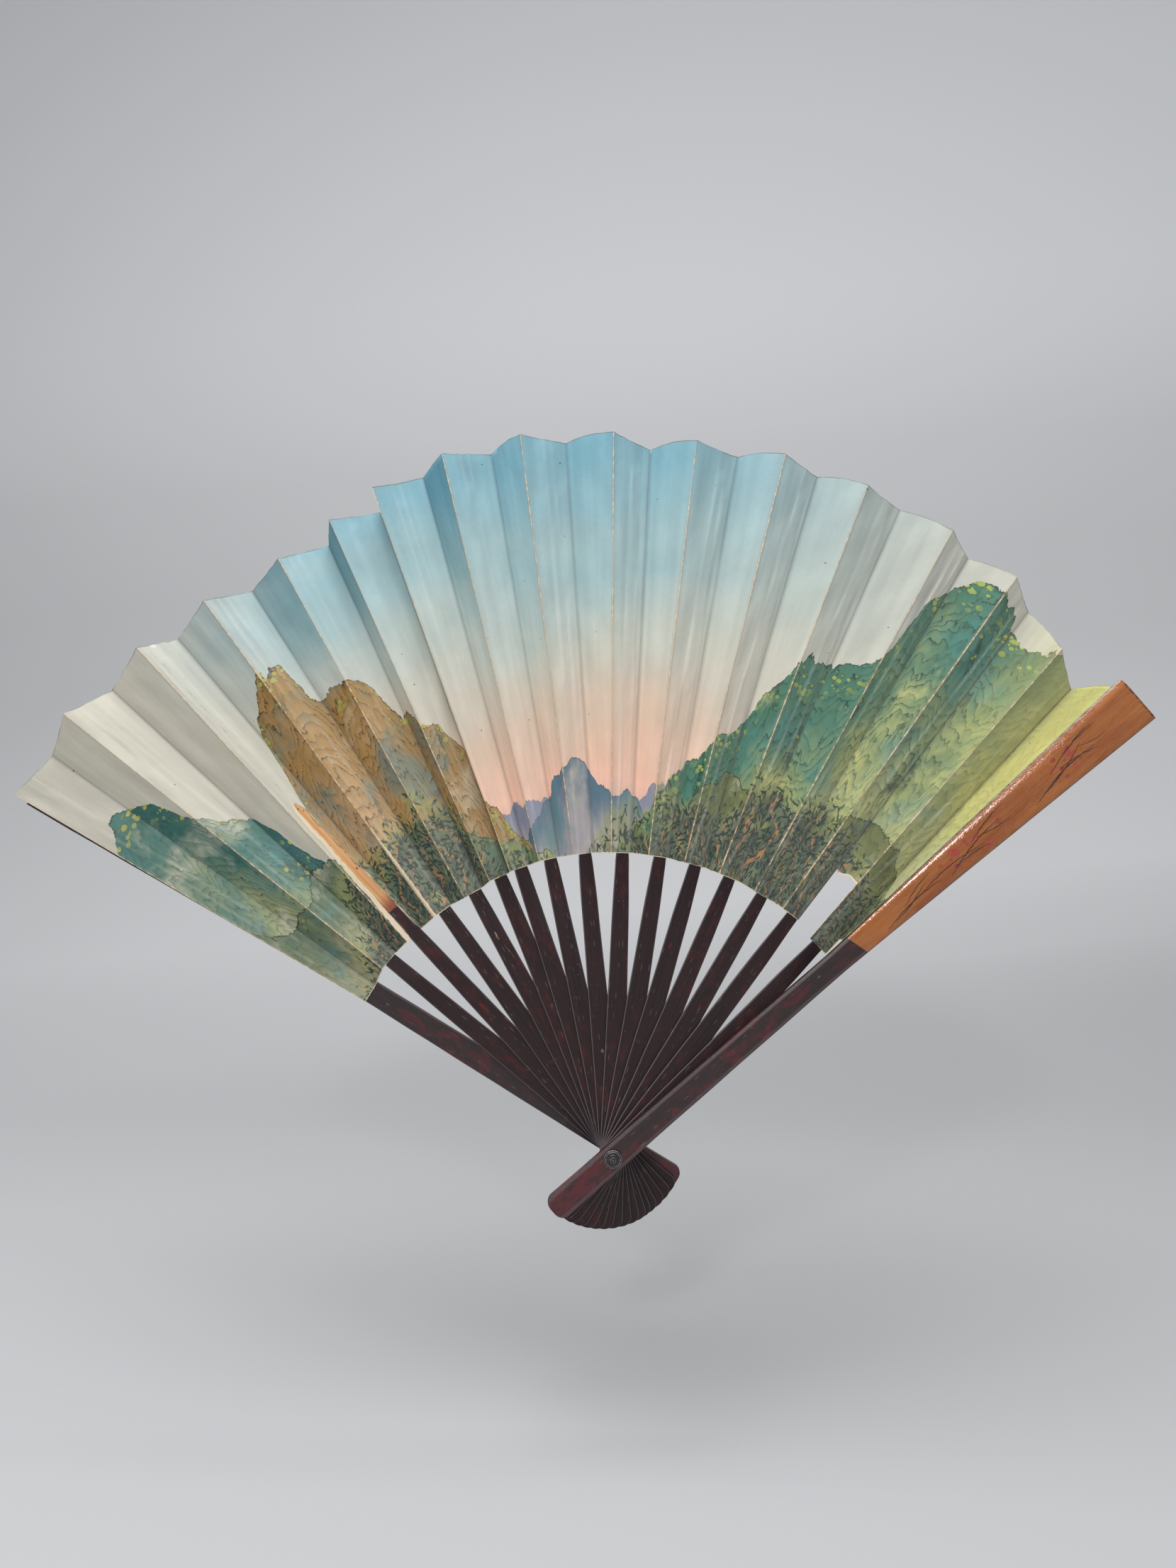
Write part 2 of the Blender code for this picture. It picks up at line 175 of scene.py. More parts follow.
class Graph:
    """Adds nodes to one tree and wires them up as they are made."""

    def __init__(self, tree: bpy.types.NodeTree) -> None:
        self.tree = tree

    def feed(self, socket: Socket, value: object) -> None:
        """Links a socket to value, or sets it if value is a number or a tuple."""
        if isinstance(value, Socket):
            self.tree.links.new(value, socket)
        elif value is not None:
            if socket.type == "RGBA" and len(value) == 3:
                value = (*value, 1.0)
            socket.default_value = value

    def node(self, kind: str, inputs: dict | None = None, **settings: object) -> bpy.types.Node:
        """A new node with its settings made and its inputs fed.

        Args:
            kind: The node's type name, such as ShaderNodeMath.
            inputs: Values or sockets by input name or number.
            settings: Attributes of the node.

        Returns:
            The node.
        """
        made = self.tree.nodes.new(kind)
        for name, value in settings.items():
            setattr(made, name, value)
        for key, value in (inputs or {}).items():
            self.feed(made.inputs[key], value)
        return made

    def fill(self, node: bpy.types.Node, inputs: dict[str, object]) -> None:
        """Feeds several inputs of a node."""
        for name, value in inputs.items():
            self.feed(node.inputs[name], value)

    def parts(self, vector: object) -> list[Socket]:
        """The x, y and z of a vector."""
        return list(self.node("ShaderNodeSeparateXYZ", {0: vector}).outputs)

    def channels(self, colour: object) -> list[Socket]:
        """The red, green and blue of a colour."""
        return list(self.node("ShaderNodeSeparateColor", {0: colour}).outputs)

    def math(self, operation: str, a: object, b: object = None, c: object = None) -> Socket:
        """One Math node's result."""
        return self.node("ShaderNodeMath", {0: a, 1: b, 2: c}, operation=operation).outputs[0]

    def add(self, a: object, b: object) -> Socket:
        """a + b"""
        return self.math("ADD", a, b)

    def sub(self, a: object, b: object) -> Socket:
        """a - b"""
        return self.math("SUBTRACT", a, b)

    def mul(self, a: object, b: object) -> Socket:
        """a times b"""
        return self.math("MULTIPLY", a, b)

    def most(self, *values: object) -> Socket:
        """The largest of the values."""
        result = values[0]
        for value in values[1:]:
            result = self.math("MAXIMUM", result, value)
        return result

    def span(self, value: object, low: float, high: float, start: object = 0.0,
             end: object = 1.0) -> Socket:
        """Value from low to high becomes start to end, with level ends."""
        inputs = {"Value": value, "From Min": low, "From Max": high, "To Min": start, "To Max": end}
        made = self.node("ShaderNodeMapRange", inputs, interpolation_type="SMOOTHSTEP")
        return made.outputs["Result"]

    def mix(self, share: object, a: object, b: object, mode: str = "MIX") -> Socket:
        """The colour a turned into b by share."""
        made = self.node("ShaderNodeMix", data_type="RGBA", blend_type=mode)
        self.feed(made.inputs[0], share)
        self.feed(made.inputs[6], a)
        self.feed(made.inputs[7], b)
        return made.outputs[2]

    def paint(self, under: object, *coats: tuple[object, object, object]) -> Socket:
        """The colour under painted over by coats, each a mask, its strength and a colour."""
        for mask, strength, colour in coats:
            under = self.mix(self.mul(mask, strength), under, colour)
        return under

    def shade(self, colour: object, tone: object) -> Socket:
        """The colour times a number."""
        return self.mix(1.0, colour, self.vector(tone, tone, tone), "MULTIPLY")

    def vector(self, x: object = 0.0, y: object = 0.0, z: object = 0.0) -> Socket:
        """Three values as one vector."""
        return self.node("ShaderNodeCombineXYZ", {0: x, 1: y, 2: z}).outputs[0]

    def stretch(self, vector: object, scale: Colour, shift: Colour = (0.0, 0.0, 0.0)) -> Socket:
        """The vector scaled along each axis and then shifted."""
        inputs = {"Vector": vector, "Scale": scale, "Location": shift}
        return self.node("ShaderNodeMapping", inputs).outputs[0]

    def noise(self, vector: object, scale: float | tuple[float, float], detail: float = 3.0,
              rough: float = 0.55, twist: float = 0.0) -> Socket:
        """Fractal noise from 0 to 1; two scales stretch it along x and along y."""
        if isinstance(scale, tuple):
            vector, scale = self.stretch(vector, (*scale, 1.0)), 1.0
        inputs = {"Vector": vector, "Scale": scale, "Detail": detail, "Roughness": rough,
                  "Distortion": twist}
        return self.node("ShaderNodeTexNoise", inputs).outputs["Fac"]

    def curve(self, value: object, points: tuple[tuple[float, float], ...]) -> Socket:
        """A number from 0 to 1 read from a smooth curve through the points."""
        made = self.node("ShaderNodeFloatCurve", {"Value": value})
        curve = made.mapping.curves[0]
        while len(curve.points) < len(points):
            curve.points.new(0.5, 0.5)
        for point, place in zip(curve.points, points):
            point.location = place
        made.mapping.update()
        return made.outputs[0]

    def ramp(self, value: object, stops: tuple[tuple[float, Colour], ...]) -> Socket:
        """A colour read from stops, each a place from 0 to 1 and its colour."""
        made = self.node("ShaderNodeValToRGB", {"Fac": value})
        elements = made.color_ramp.elements
        while len(elements) < len(stops):
            elements.new(0.5)
        for element, (place, colour) in zip(elements, stops):
            element.position = place
            element.color = (*colour, 1.0)
        return made.outputs["Color"]

    def attribute(self, name: str) -> Socket:
        """A number that the mesh carries at its points."""
        return self.node("ShaderNodeAttribute", attribute_name=name).outputs["Fac"]

    def uv(self, name: str) -> Socket:
        """A UV map of the mesh."""
        return self.node("ShaderNodeUVMap", uv_map=name).outputs["UV"]

    def call(self, group: bpy.types.NodeTree, inputs: dict) -> bpy.types.NodeOutputs:
        """A node group's outputs for these inputs."""
        made = self.node("ShaderNodeGroup", node_tree=group)
        self.fill(made, inputs)
        return made.outputs


class Kind(Enum):
    """What a node group's socket carries."""

    VALUE = "NodeSocketFloat"
    VECTOR = "NodeSocketVector"


def new_group(name: str, inputs: tuple[str, ...], outputs: tuple[str, ...]) -> tuple[
        bpy.types.NodeTree, Graph, list[Socket], bpy.types.Node]:
    """A shader node group, whose first input is a vector and whose other sockets are numbers.

    Args:
        name: The group's name.
        inputs: The inputs' names.
        outputs: The outputs' names.

    Returns:
        The tree, its graph, its input sockets and its output node.
    """
    tree = bpy.data.node_groups.new(name, "ShaderNodeTree")
    for in_out, sockets in (("INPUT", inputs), ("OUTPUT", outputs)):
        for socket in sockets:
            kind = Kind.VECTOR if socket == "Vector" else Kind.VALUE
            tree.interface.new_socket(socket, in_out=in_out, socket_type=kind.value)
    graph = Graph(tree)
    found = graph.node("NodeGroupInput").outputs
    return tree, graph, list(found)[:len(inputs)], graph.node("NodeGroupOutput")


class Effects:
    """The shader effects that more than one material uses, each as a node group."""

    def __init__(self) -> None:
        self.grain = self._grain()
        self.specks = self._specks()
        self.wear = self._wear()
        self.fibre = self._fibre()
        self.hill = self._hill()
        self.leaves = self._leaves()
        self.stroke = self._stroke()

    def dots(self, g: Graph, uv: Socket, scale: tuple[float, float], size: float,
             share: float) -> Socket:
        """The mask of specks, so many to a metre along and across."""
        inputs = {"Vector": g.stretch(uv, (*scale, 1.0)), "Size": size, "Share": share}
        return g.call(self.specks, inputs)["Mask"]

    @staticmethod
    def _grain() -> bpy.types.NodeTree:
        """Long bamboo fibres: fine lines, and slow streaks between them."""
        tree, g, (vector,), end = new_group(
            "bamboo_grain", ("Vector",), ("Lines", "Streaks", "Height"))
        lines = g.span(g.noise(vector, (22.0, 2600.0), 4.0, 0.6), 0.36, 0.64)
        streaks = g.span(g.noise(vector, (14.0, 420.0), 3.0, 0.55), 0.36, 0.66)
        height = g.add(g.mul(lines, 0.6), g.mul(streaks, 0.4))
        g.fill(end, {"Lines": lines, "Streaks": streaks, "Height": height})
        return tree

    @staticmethod
    def _specks() -> bpy.types.NodeTree:
        """Scattered dots: a share of a Voronoi texture's cells shows a dot at its middle."""
        tree, g, (vector, size, share), end = new_group(
            "specks", ("Vector", "Size", "Share"), ("Mask",))
        cells = g.node("ShaderNodeTexVoronoi", {"Vector": vector, "Scale": 1.0}).outputs
        pick = g.channels(cells["Color"])
        size = g.mul(size, g.add(0.4, pick[1]))
        near = g.sub(1.0, g.math("DIVIDE", cells["Distance"], size))
        shown = g.math("LESS_THAN", pick[0], share)
        g.fill(end, {"Mask": g.mul(shown, g.span(near, 0.0, 0.45))})
        return tree

    @staticmethod
    def _wear() -> bpy.types.NodeTree:
        """Where a finish is rubbed off: the edge value broken up by noise."""
        tree, g, (vector, edge, amount), end = new_group(
            "edge_wear", ("Vector", "Edge", "Amount"), ("Mask",))
        patches = g.noise(vector, (90.0, 500.0), 5.0, 0.65)
        worn = g.add(g.mul(edge, amount), g.sub(patches, 1.0))
        g.fill(end, {"Mask": g.span(worn, 0.0, 0.22)})
        return tree

    @staticmethod
    def _fibre() -> bpy.types.NodeTree:
        """Paper: fine tooth, cloudy tone and a few long fibres."""
        tree, g, (vector,), end = new_group(
            "paper_fibre", ("Vector",), ("Tooth", "Cloud", "Height"))
        tooth = g.noise(vector, 2600.0, 4.0, 0.65)
        laid = g.noise(vector, (150.0, 900.0), 3.0, 0.6)
        g.fill(end, {"Tooth": tooth, "Cloud": g.noise(vector, 38.0, 5.0, 0.6, 0.4),
                     "Height": g.add(g.mul(tooth, 0.5), g.mul(laid, 0.5))})
        return tree

    @staticmethod
    def _hill() -> bpy.types.NodeTree:
        """A painted hill below its crest, as masks: its body, its crest line, and its strata.

        The strata are the whole numbers of the depth below the crest, bent by noise, so that they
        follow it; the shade is darkest under each and fades to the next.
        """
        tree, g, (vector, height, rough, seed), end = new_group(
            "painted_hill", ("Vector", "Height", "Rough", "Seed"),
            ("Body", "Crest", "Below", "Strata", "Shade", "Cleft"))
        shifted = g.node("ShaderNodeVectorMath", {0: vector, 1: g.vector(seed, seed)},
                         operation="ADD").outputs[0]
        crags = g.sub(g.noise(shifted, (85.0, 30.0), 6.0, 0.58), 0.5)
        below = g.sub(g.add(height, g.mul(crags, rough)), g.parts(vector)[1])
        folds = g.noise(shifted, (95.0, 22.0), 4.0, 0.55, 0.6)
        fine = g.noise(shifted, 330.0, 3.0, 0.6)
        wave = g.add(g.mul(below, 150.0), g.add(g.mul(folds, 7.4), g.mul(fine, 0.55)))
        saw = g.math("FRACT", wave)
        line = g.math("MINIMUM", saw, g.sub(1.0, saw))
        broken = g.span(g.noise(shifted, 110.0, 3.0), 0.36, 0.62)
        off_crest = g.math("ABSOLUTE", g.sub(below, 0.0003))
        g.fill(end, {
            "Body": g.span(below, -0.0002, 0.0003), "Crest": g.span(off_crest, 0.0006, 0.0001),
            "Below": below, "Strata": g.mul(g.span(line, 0.11, 0.0), broken),
            "Shade": g.math("POWER", g.sub(1.0, saw), 2.5),
            "Cleft": g.mul(g.span(folds, 0.57, 0.68), g.span(fine, 0.34, 0.5)),
        })
        return tree

    @staticmethod
    def _leaves() -> bpy.types.NodeTree:
        """Brushed leaves, one to a Voronoi cell: slim ovals at random angles about a lean."""
        tree, g, (vector, lean, spread, slim), end = new_group(
            "brushed_leaves", ("Vector", "Lean", "Spread", "Slim"), ("Mask", "Tone"))
        cells = g.node("ShaderNodeTexVoronoi", {"Vector": vector, "Scale": 1.0},
                       voronoi_dimensions="2D").outputs
        local = g.node("ShaderNodeVectorMath", {0: vector, 1: cells["Position"]},
                       operation="SUBTRACT").outputs[0]
        x, y, _ = g.parts(local)
        tone = g.channels(cells["Color"])
        swirl = g.mul(g.noise(vector, 0.17, 2.0), 11.0)
        angle = g.add(g.add(lean, swirl), g.mul(g.sub(tone[0], 0.5), spread))
        cosine, sine = g.math("COSINE", angle), g.math("SINE", angle)
        length = g.add(g.mul(x, cosine), g.mul(y, sine))
        width = g.mul(g.sub(g.mul(y, cosine), g.mul(x, sine)), slim)
        far = g.add(g.mul(length, length), g.mul(width, width))
        size = g.add(0.12, g.mul(tone[1], 0.12))
        g.fill(end, {"Mask": g.span(g.math("DIVIDE", far, size), 1.15, 0.85), "Tone": tone[2]})
        return tree

    @staticmethod
    def _stroke() -> bpy.types.NodeTree:
        """One brush stroke: a bowed line from start to end that thins to its ends.

        The line is at height middle + bow times sin(pi t) + slope times t, with t from 0 to 1.
        """
        tree, g, (vector, start, length, middle, slope, bow, width), end = new_group(
            "brush_stroke", ("Vector", "Start", "Length", "Middle", "Slope", "Bow", "Width"),
            ("Mask",))
        x, y, _ = g.parts(vector)
        share = g.math("DIVIDE", g.sub(x, start), length)
        inside = g.mul(g.math("GREATER_THAN", share, 0.0), g.math("LESS_THAN", share, 1.0))
        arch = g.math("SINE", g.mul(share, math.pi))
        wobble = g.mul(g.sub(g.noise(vector, (520.0, 60.0)), 0.5), 0.0011)
        bowed = g.add(g.add(g.mul(bow, arch), g.mul(slope, share)), wobble)
        line = g.math("ABSOLUTE", g.sub(g.sub(y, middle), bowed))
        width = g.mul(width, g.add(0.3, g.mul(arch, 0.7)))
        g.fill(end, {"Mask": g.mul(inside, g.span(g.math("DIVIDE", line, width), 1.1, 0.6))})
        return tree


def new_material(name: str) -> tuple[bpy.types.Material, Graph, bpy.types.Node]:
    """A material with one Principled shader.

    Args:
        name: The material's name.

    Returns:
        The material, its graph and the shader.
    """
    made = bpy.data.materials.new(name)
    made.use_nodes = True
    return made, Graph(made.node_tree), made.node_tree.nodes["Principled BSDF"]


def bump(g: Graph, height: object, distance: float, strength: float = 1.0,
         under: object = None) -> Socket:
    """A bumped normal.

    Args:
        g: The material's graph.
        height: The height, from 0 to 1.
        distance: How high 1 is, in metres.
        strength: Share of the bump that shows.
        under: A normal to start from.

    Returns:
        The normal.
    """
    return g.node("ShaderNodeBump", {
        "Height": height, "Distance": distance, "Strength": strength, "Normal": under,
    }).outputs[0]


@dataclass(frozen=True)
class Hill:
    """One painted hill: its crest over the leaf from left to right, and its colours downward.

    Crest points are shares of the leaf's width and height.
    """

    crest: tuple[tuple[float, float], ...]
    top: Colour
    low: Colour
    line: Colour
    rough: float = 0.012
    seed: float = 0.0
    fade: float = 0.05
    strata: float = 0.0
    moss: float = 0.0
    glow: Colour = (0.5, 0.5, 0.1)
    glaze: Colour = (0.10, 0.27, 0.28)
    light: Colour = (0.74, 0.68, 0.52)


class Range(Enum):
    """The hills, from the farthest to the nearest."""

    FAR = Hill(((0.0, 0.1), (0.2, 0.17), (0.33, 0.13), (0.45, 0.16), (0.53, 0.11), (0.64, 0.19),
                (0.75, 0.14), (1.0, 0.12)),
               (0.30, 0.31, 0.40), (0.62, 0.48, 0.46), (0.26, 0.27, 0.36), 0.016, 3.1, 0.03)
    SLATE = Hill(((0.38, 0.0), (0.43, 0.1), (0.47, 0.2), (0.5, 0.235), (0.53, 0.17), (0.57, 0.15),
                  (0.61, 0.05), (0.66, 0.0)),
                 (0.13, 0.21, 0.28), (0.46, 0.42, 0.43), (0.10, 0.15, 0.2), 0.02, 7.7, 0.026)
    TEAL = Hill(((0.55, 0.0), (0.6, 0.13), (0.65, 0.28), (0.69, 0.36), (0.73, 0.55), (0.77, 0.6),
                 (0.81, 0.83), (0.85, 0.93), (0.89, 0.86), (0.94, 0.97), (1.0, 0.98)),
                (0.08, 0.22, 0.15), (0.42, 0.45, 0.18), (0.012, 0.045, 0.035), 0.03, 1.3, 0.1,
                1.0, 0.9, (0.42, 0.52, 0.12), (0.07, 0.27, 0.24), (0.72, 0.68, 0.26))
    FERN = Hill(((0.0, 0.72), (0.03, 0.76), (0.055, 0.62), (0.085, 0.5), (0.11, 0.3), (0.14, 0.12),
                 (0.17, 0.0)),
                (0.055, 0.20, 0.17), (0.36, 0.40, 0.20), (0.010, 0.04, 0.035), 0.03, 4.2, 0.1,
                0.8, 0.8, (0.56, 0.58, 0.12))
    OCHRE = Hill(((0.1, 0.0), (0.125, 0.22), (0.145, 0.5), (0.165, 0.68), (0.19, 0.73),
                  (0.215, 0.6), (0.24, 0.62), (0.27, 0.47), (0.3, 0.45), (0.34, 0.27),
                  (0.38, 0.14), (0.43, 0.0)),
                 (0.43, 0.25, 0.075), (0.58, 0.36, 0.17), (0.03, 0.022, 0.012), 0.03, 8.8, 0.1,
                 1.0, 0.85, (0.52, 0.50, 0.11))
    OLIVE = Hill(((0.6, 0.0), (0.65, 0.14), (0.7, 0.24), (0.76, 0.17), (0.83, 0.26), (0.9, 0.3),
                  (0.95, 0.2), (1.0, 0.14)),
                 (0.17, 0.20, 0.08), (0.42, 0.36, 0.17), (0.03, 0.035, 0.02), 0.022, 5.9, 0.045,
                 0.8, 0.5, (0.45, 0.5, 0.12))
    SHORE = Hill(((0.0, 0.34), (0.05, 0.24), (0.1, 0.29), (0.17, 0.18), (0.24, 0.21), (0.32, 0.1),
                  (0.4, 0.05), (0.46, 0.0)),
                 (0.12, 0.19, 0.11), (0.42, 0.40, 0.22), (0.025, 0.04, 0.025), 0.02, 9.6, 0.045,
                 0.6, 0.5, (0.55, 0.56, 0.12))


@dataclass(frozen=True)
class PaintedPaper:
    """The leaf's front: misty hills over a lake, with bamboo along the inner edge, on worn paper.

    In the leaf's UV map, x is the arc length over the flat leaf from its middle to the left, and y the
    radial length from its inner edge.
    """

    effects: Effects
    width: float = 0.4566
    height: float = 0.171
    blue: Colour = (0.235, 0.475, 0.565)
    pale: Colour = (0.64, 0.65, 0.565)
    warm: Colour = (0.99, 0.62, 0.47)
    cream: Colour = (0.625, 0.595, 0.50)
    bare: Colour = (0.77, 0.65, 0.47)
    leaf_layers: tuple[tuple[float, float, float, Colour], ...] = (
        (150.0, 0.0, 0.7, (0.12, 0.17, 0.12)), (190.0, 3.3, 2.2, (0.06, 0.10, 0.08)),
        (210.0, 6.1, 1.5, (0.035, 0.06, 0.05)), (240.0, 9.4, 0.2, (0.025, 0.045, 0.04)),
        (260.0, 12.0, 2.6, (0.02, 0.035, 0.03)))
    grove: tuple[tuple[float, float], ...] = (
        (0.0, 0.1), (0.06, 0.3), (0.14, 0.75), (0.22, 0.85), (0.3, 0.55), (0.36, 0.2),
        (0.45, 0.12), (0.55, 0.2), (0.62, 0.5), (0.72, 0.8), (0.82, 0.95), (0.92, 0.7), (1.0, 0.4))

    def material(self) -> bpy.types.Material:
        """The material, which reads the leaf's UV map and its distances from edges and creases."""
        made, g, shader = new_material("painted_paper")
        uv = g.uv("leaf")
        x, up, _ = g.parts(uv)
        across = g.math("MULTIPLY_ADD", x, -1.0 / self.width, 0.5)
        colour = self._sky(g, uv, across, up)
        for hill in Range:
            colour = self._hill(g, uv, across, colour, hill.value)
        sunny = g.mul(g.span(across, 0.86, 0.97), g.span(up, 0.02, 0.12))
        colour = g.paint(colour, (sunny, 0.62, (0.82, 0.72, 0.2)))
        colour = self._grove(g, uv, across, up, colour)
        colour, height = self._age(g, uv, across, colour)
        fibre = g.call(self.effects.fibre, {"Vector": uv})
        cockle = g.noise(uv, (210.0, 80.0), 3.0, 0.5)
        normal = bump(g, cockle, 0.9 * MM, 0.4, bump(g, fibre["Height"], 0.05 * MM, 0.35))
        g.fill(shader, {
            "Base Color": g.shade(colour, g.add(0.79, g.mul(fibre["Cloud"], 0.13))),
            "Roughness": g.add(0.52, g.mul(fibre["Tooth"], 0.16)),
            "Normal": bump(g, height, 0.12 * MM, 0.8, normal), "Specular IOR Level": 0.35})
        return made

    def _sky(self, g: Graph, uv: Socket, across: Socket, up: Socket) -> Socket:
        """Blue overhead, cream below it and warm at the horizon, with both ends bleached."""
        drift = g.sub(g.noise(uv, (7.0, 16.0), 4.0, 0.55), 0.5)
        level = g.add(g.mul(up, 1.0 / self.height), g.mul(drift, 0.5))
        sky = g.ramp(level, (
            (0.0, (0.55, 0.42, 0.42)), (0.15, self.warm), (0.32, (0.80, 0.60, 0.46)),
            (0.52, self.pale), (0.72, (0.41, 0.575, 0.59)), (0.98, self.blue)))
        uneven = g.add(across, g.mul(drift, 0.1))
        ends = g.most(g.span(uneven, 0.27, 0.1), g.mul(g.span(uneven, 0.55, 0.86), 0.9))
        return g.mix(ends, sky, self.cream)

    def _hill(self, g: Graph, uv: Socket, across: Socket, under: Socket, hill: Hill) -> Socket:
        """One hill painted over what lies behind it, fading into mist at its foot."""
        crest = g.mul(g.curve(across, hill.crest), self.height)
        inside = g.mul(g.math("GREATER_THAN", across, hill.crest[0][0]),
                       g.math("LESS_THAN", across, hill.crest[-1][0]))
        found = g.call(self.effects.hill, {
            "Vector": uv, "Height": g.add(crest, g.mul(g.sub(inside, 1.0), 0.1)),
            "Rough": hill.rough, "Seed": hill.seed})
        wash = g.noise(uv, (60.0, 30.0), 5.0, 0.6, 0.6)
        drawn = g.stretch(uv, (34.0, 26.0, 1.0), (hill.seed, 0.0, 0.0))
        cloud = g.noise(drawn, 1.0, 4.0, 0.6, 0.3)
        depth = g.math("DIVIDE", found["Below"], hill.fade)
        downward = g.span(g.add(depth, g.mul(g.sub(wash, 0.5), 1.6)), 0.1, 1.0)
        colour = g.paint(
            g.mix(downward, hill.top, hill.low), (g.span(cloud, 0.5, 0.66), 0.6, hill.glaze),
            (g.span(cloud, 0.47, 0.3), 0.6, hill.light))
        if hill.strata:
            ink = g.mul(found["Strata"], g.span(depth, 2.2, 0.4))
            colour = g.paint(
                colour, (found["Shade"], 0.62 * hill.strata, g.mix(0.5, hill.top, hill.line)),
                (ink, 0.9 * hill.strata, hill.line), (found["Cleft"], 0.72 * hill.strata, hill.line))
        colour = g.paint(colour, (found["Crest"], g.span(wash, 0.3, 0.5), hill.line))
        if hill.moss:
            near = g.most(g.span(depth, 0.2, 0.02), found["Cleft"])
            tufts = g.mul(near, g.span(g.noise(uv, 55.0, 2.0), 0.42, 0.52))
            dots = self.effects.dots(g, uv, (430.0, 430.0), 0.62, 0.75)
            dabs = g.mul(g.mul(dots, tufts), hill.moss)
            colour = g.paint(
                colour, (dabs, 0.9, hill.line), (g.span(dots, 0.55, 0.95), dabs, hill.glow))
        mist = g.span(g.add(depth, g.mul(g.sub(cloud, 0.5), 1.2)), 2.2, 0.7)
        return g.paint(under, (found["Body"], mist, colour))

    def _grove(self, g: Graph, uv: Socket, across: Socket, up: Socket, under: Socket) -> Socket:
        """Bamboo along the inner edge: ochre stems, and leaves in layers from light to dark."""
        clumps = g.noise(uv, (30.0, 24.0), 4.0, 0.6)
        limit = g.add(g.mul(g.curve(across, self.grove), 0.05), g.mul(g.sub(clumps, 0.58), 0.085))
        depth = g.sub(limit, up)
        body = g.mul(g.span(depth, -0.006, 0.014), g.span(g.noise(uv, 48.0, 3.0), 0.3, 0.5))
        halo = g.mul(g.span(depth, -0.014, 0.002), g.span(clumps, 0.4, 0.6))
        tone = g.span(g.noise(uv, 75.0, 4.0, 0.6), 0.35, 0.65)
        bent = g.sub(g.noise(uv, (10.0, 22.0), 2.0), 0.5)
        stalks = g.math("SINE", g.add(g.mul(across, 260.0), g.mul(bent, 46.0)))
        stem = g.mul(g.span(stalks, 0.86, 0.97), g.span(depth, 0.0, 0.01))
        under = g.paint(
            under, (halo, 0.65, (0.40, 0.42, 0.13)),
            (body, 0.9, g.mix(tone, (0.055, 0.07, 0.06), (0.17, 0.20, 0.13))),
            (stem, 0.75, (0.52, 0.24, 0.11)))
        for scale, shift, lean, ink in self.leaf_layers:
            leaves = g.call(self.effects.leaves, {
                "Vector": g.stretch(uv, (scale, scale, 1.0), (shift, shift, 0.0)),
                "Lean": lean, "Spread": 1.1, "Slim": 3.8})
            near = g.span(g.add(depth, g.mul(g.sub(leaves["Tone"], 0.5), 0.014)), -0.004, 0.0)
            under = g.paint(under, (g.mul(leaves["Mask"], near), 0.85, ink))
        return under

    def _age(self, g: Graph, uv: Socket, across: Socket, under: Socket) -> tuple[Socket, Socket]:
        """Worn creases, slip marks, a broken dark line along the rim, foxing and torn paper, with their
        height; also painted shade on the fold facets and along the valley creases.
        """
        ridge, gully, slip, rim, root, torn, folded = (
            g.attribute(name) for name in ("ridge", "gully", "slip", "rim", "root", "torn", "folded"))
        # Panels are paled a little with cream; fold facets get painted shade, their colour multiplied by
        # itself, deepest on the blue folds left of the middle.
        under = g.paint(under, (g.sub(1.0, folded), 0.07, self.cream))
        red, _, blue = g.channels(under)
        blueness = g.mul(g.span(g.sub(blue, red), 0.02, 0.25), g.span(across, 0.47, 0.42))
        under = g.paint(under, (folded, g.add(0.12, g.mul(blueness, 0.45)),
                                g.mix(1.0, under, under, "MULTIPLY")))
        dashes = g.noise(uv, (40.0, 420.0), 4.0, 0.65)
        slow = g.noise(uv, 26.0, 2.0)
        width = g.add(g.mul(g.span(dashes, 0.4, 0.66), 0.3), g.mul(g.span(slow, 0.45, 0.7), 0.12))
        worn = g.span(g.sub(ridge, width), 0.08, -0.08)
        tint = g.mul(g.span(ridge, 1.1, 0.1), g.span(slow, 0.3, 0.6))
        # Brown staining beside the peak creases, and a painted shade line of grey along the valley
        # creases.
        under = g.paint(under, (tint, 0.4, (0.40, 0.27, 0.14)),
                        (g.span(gully, 1.4, 0.0), 0.3, (0.13, 0.14, 0.14)))
        bands = g.noise(uv, (260.0, 7.0), 2.0, 0.5)
        mark = g.mul(g.span(slip, 1.1, 0.05), g.span(slow, 0.35, 0.6))
        # A broken dark line along the outer rim.
        edge = g.mul(g.span(rim, 0.5, 0.1), g.span(dashes, 0.35, 0.6))
        ragged = g.span(g.add(torn, g.mul(g.sub(dashes, 0.5), 0.5)), 0.4, 0.6)
        under = g.paint(
            g.shade(under, g.span(bands, 0.3, 0.7, 0.93, 1.05)),
            (mark, 0.13, (0.80, 0.80, 0.76)),
            (worn, 0.9, g.mix(g.span(slow, 0.36, 0.5), (0.60, 0.45, 0.28), self.bare)),
            (self.effects.dots(g, uv, (210.0, 210.0), 0.075, 0.16), 0.75, (0.09, 0.06, 0.035)),
            (edge, 0.75, (0.12, 0.11, 0.09)),
            (g.span(root, 0.4, 0.2), g.span(dashes, 0.38, 0.55), self.bare),
            (ragged, 1.0, self.bare))
        raised = g.add(g.mul(g.span(ridge, 0.7, 0.0), 0.6), g.mul(mark, 0.5))
        return under, g.sub(raised, g.mul(g.span(gully, 0.6, 0.0), 0.6))


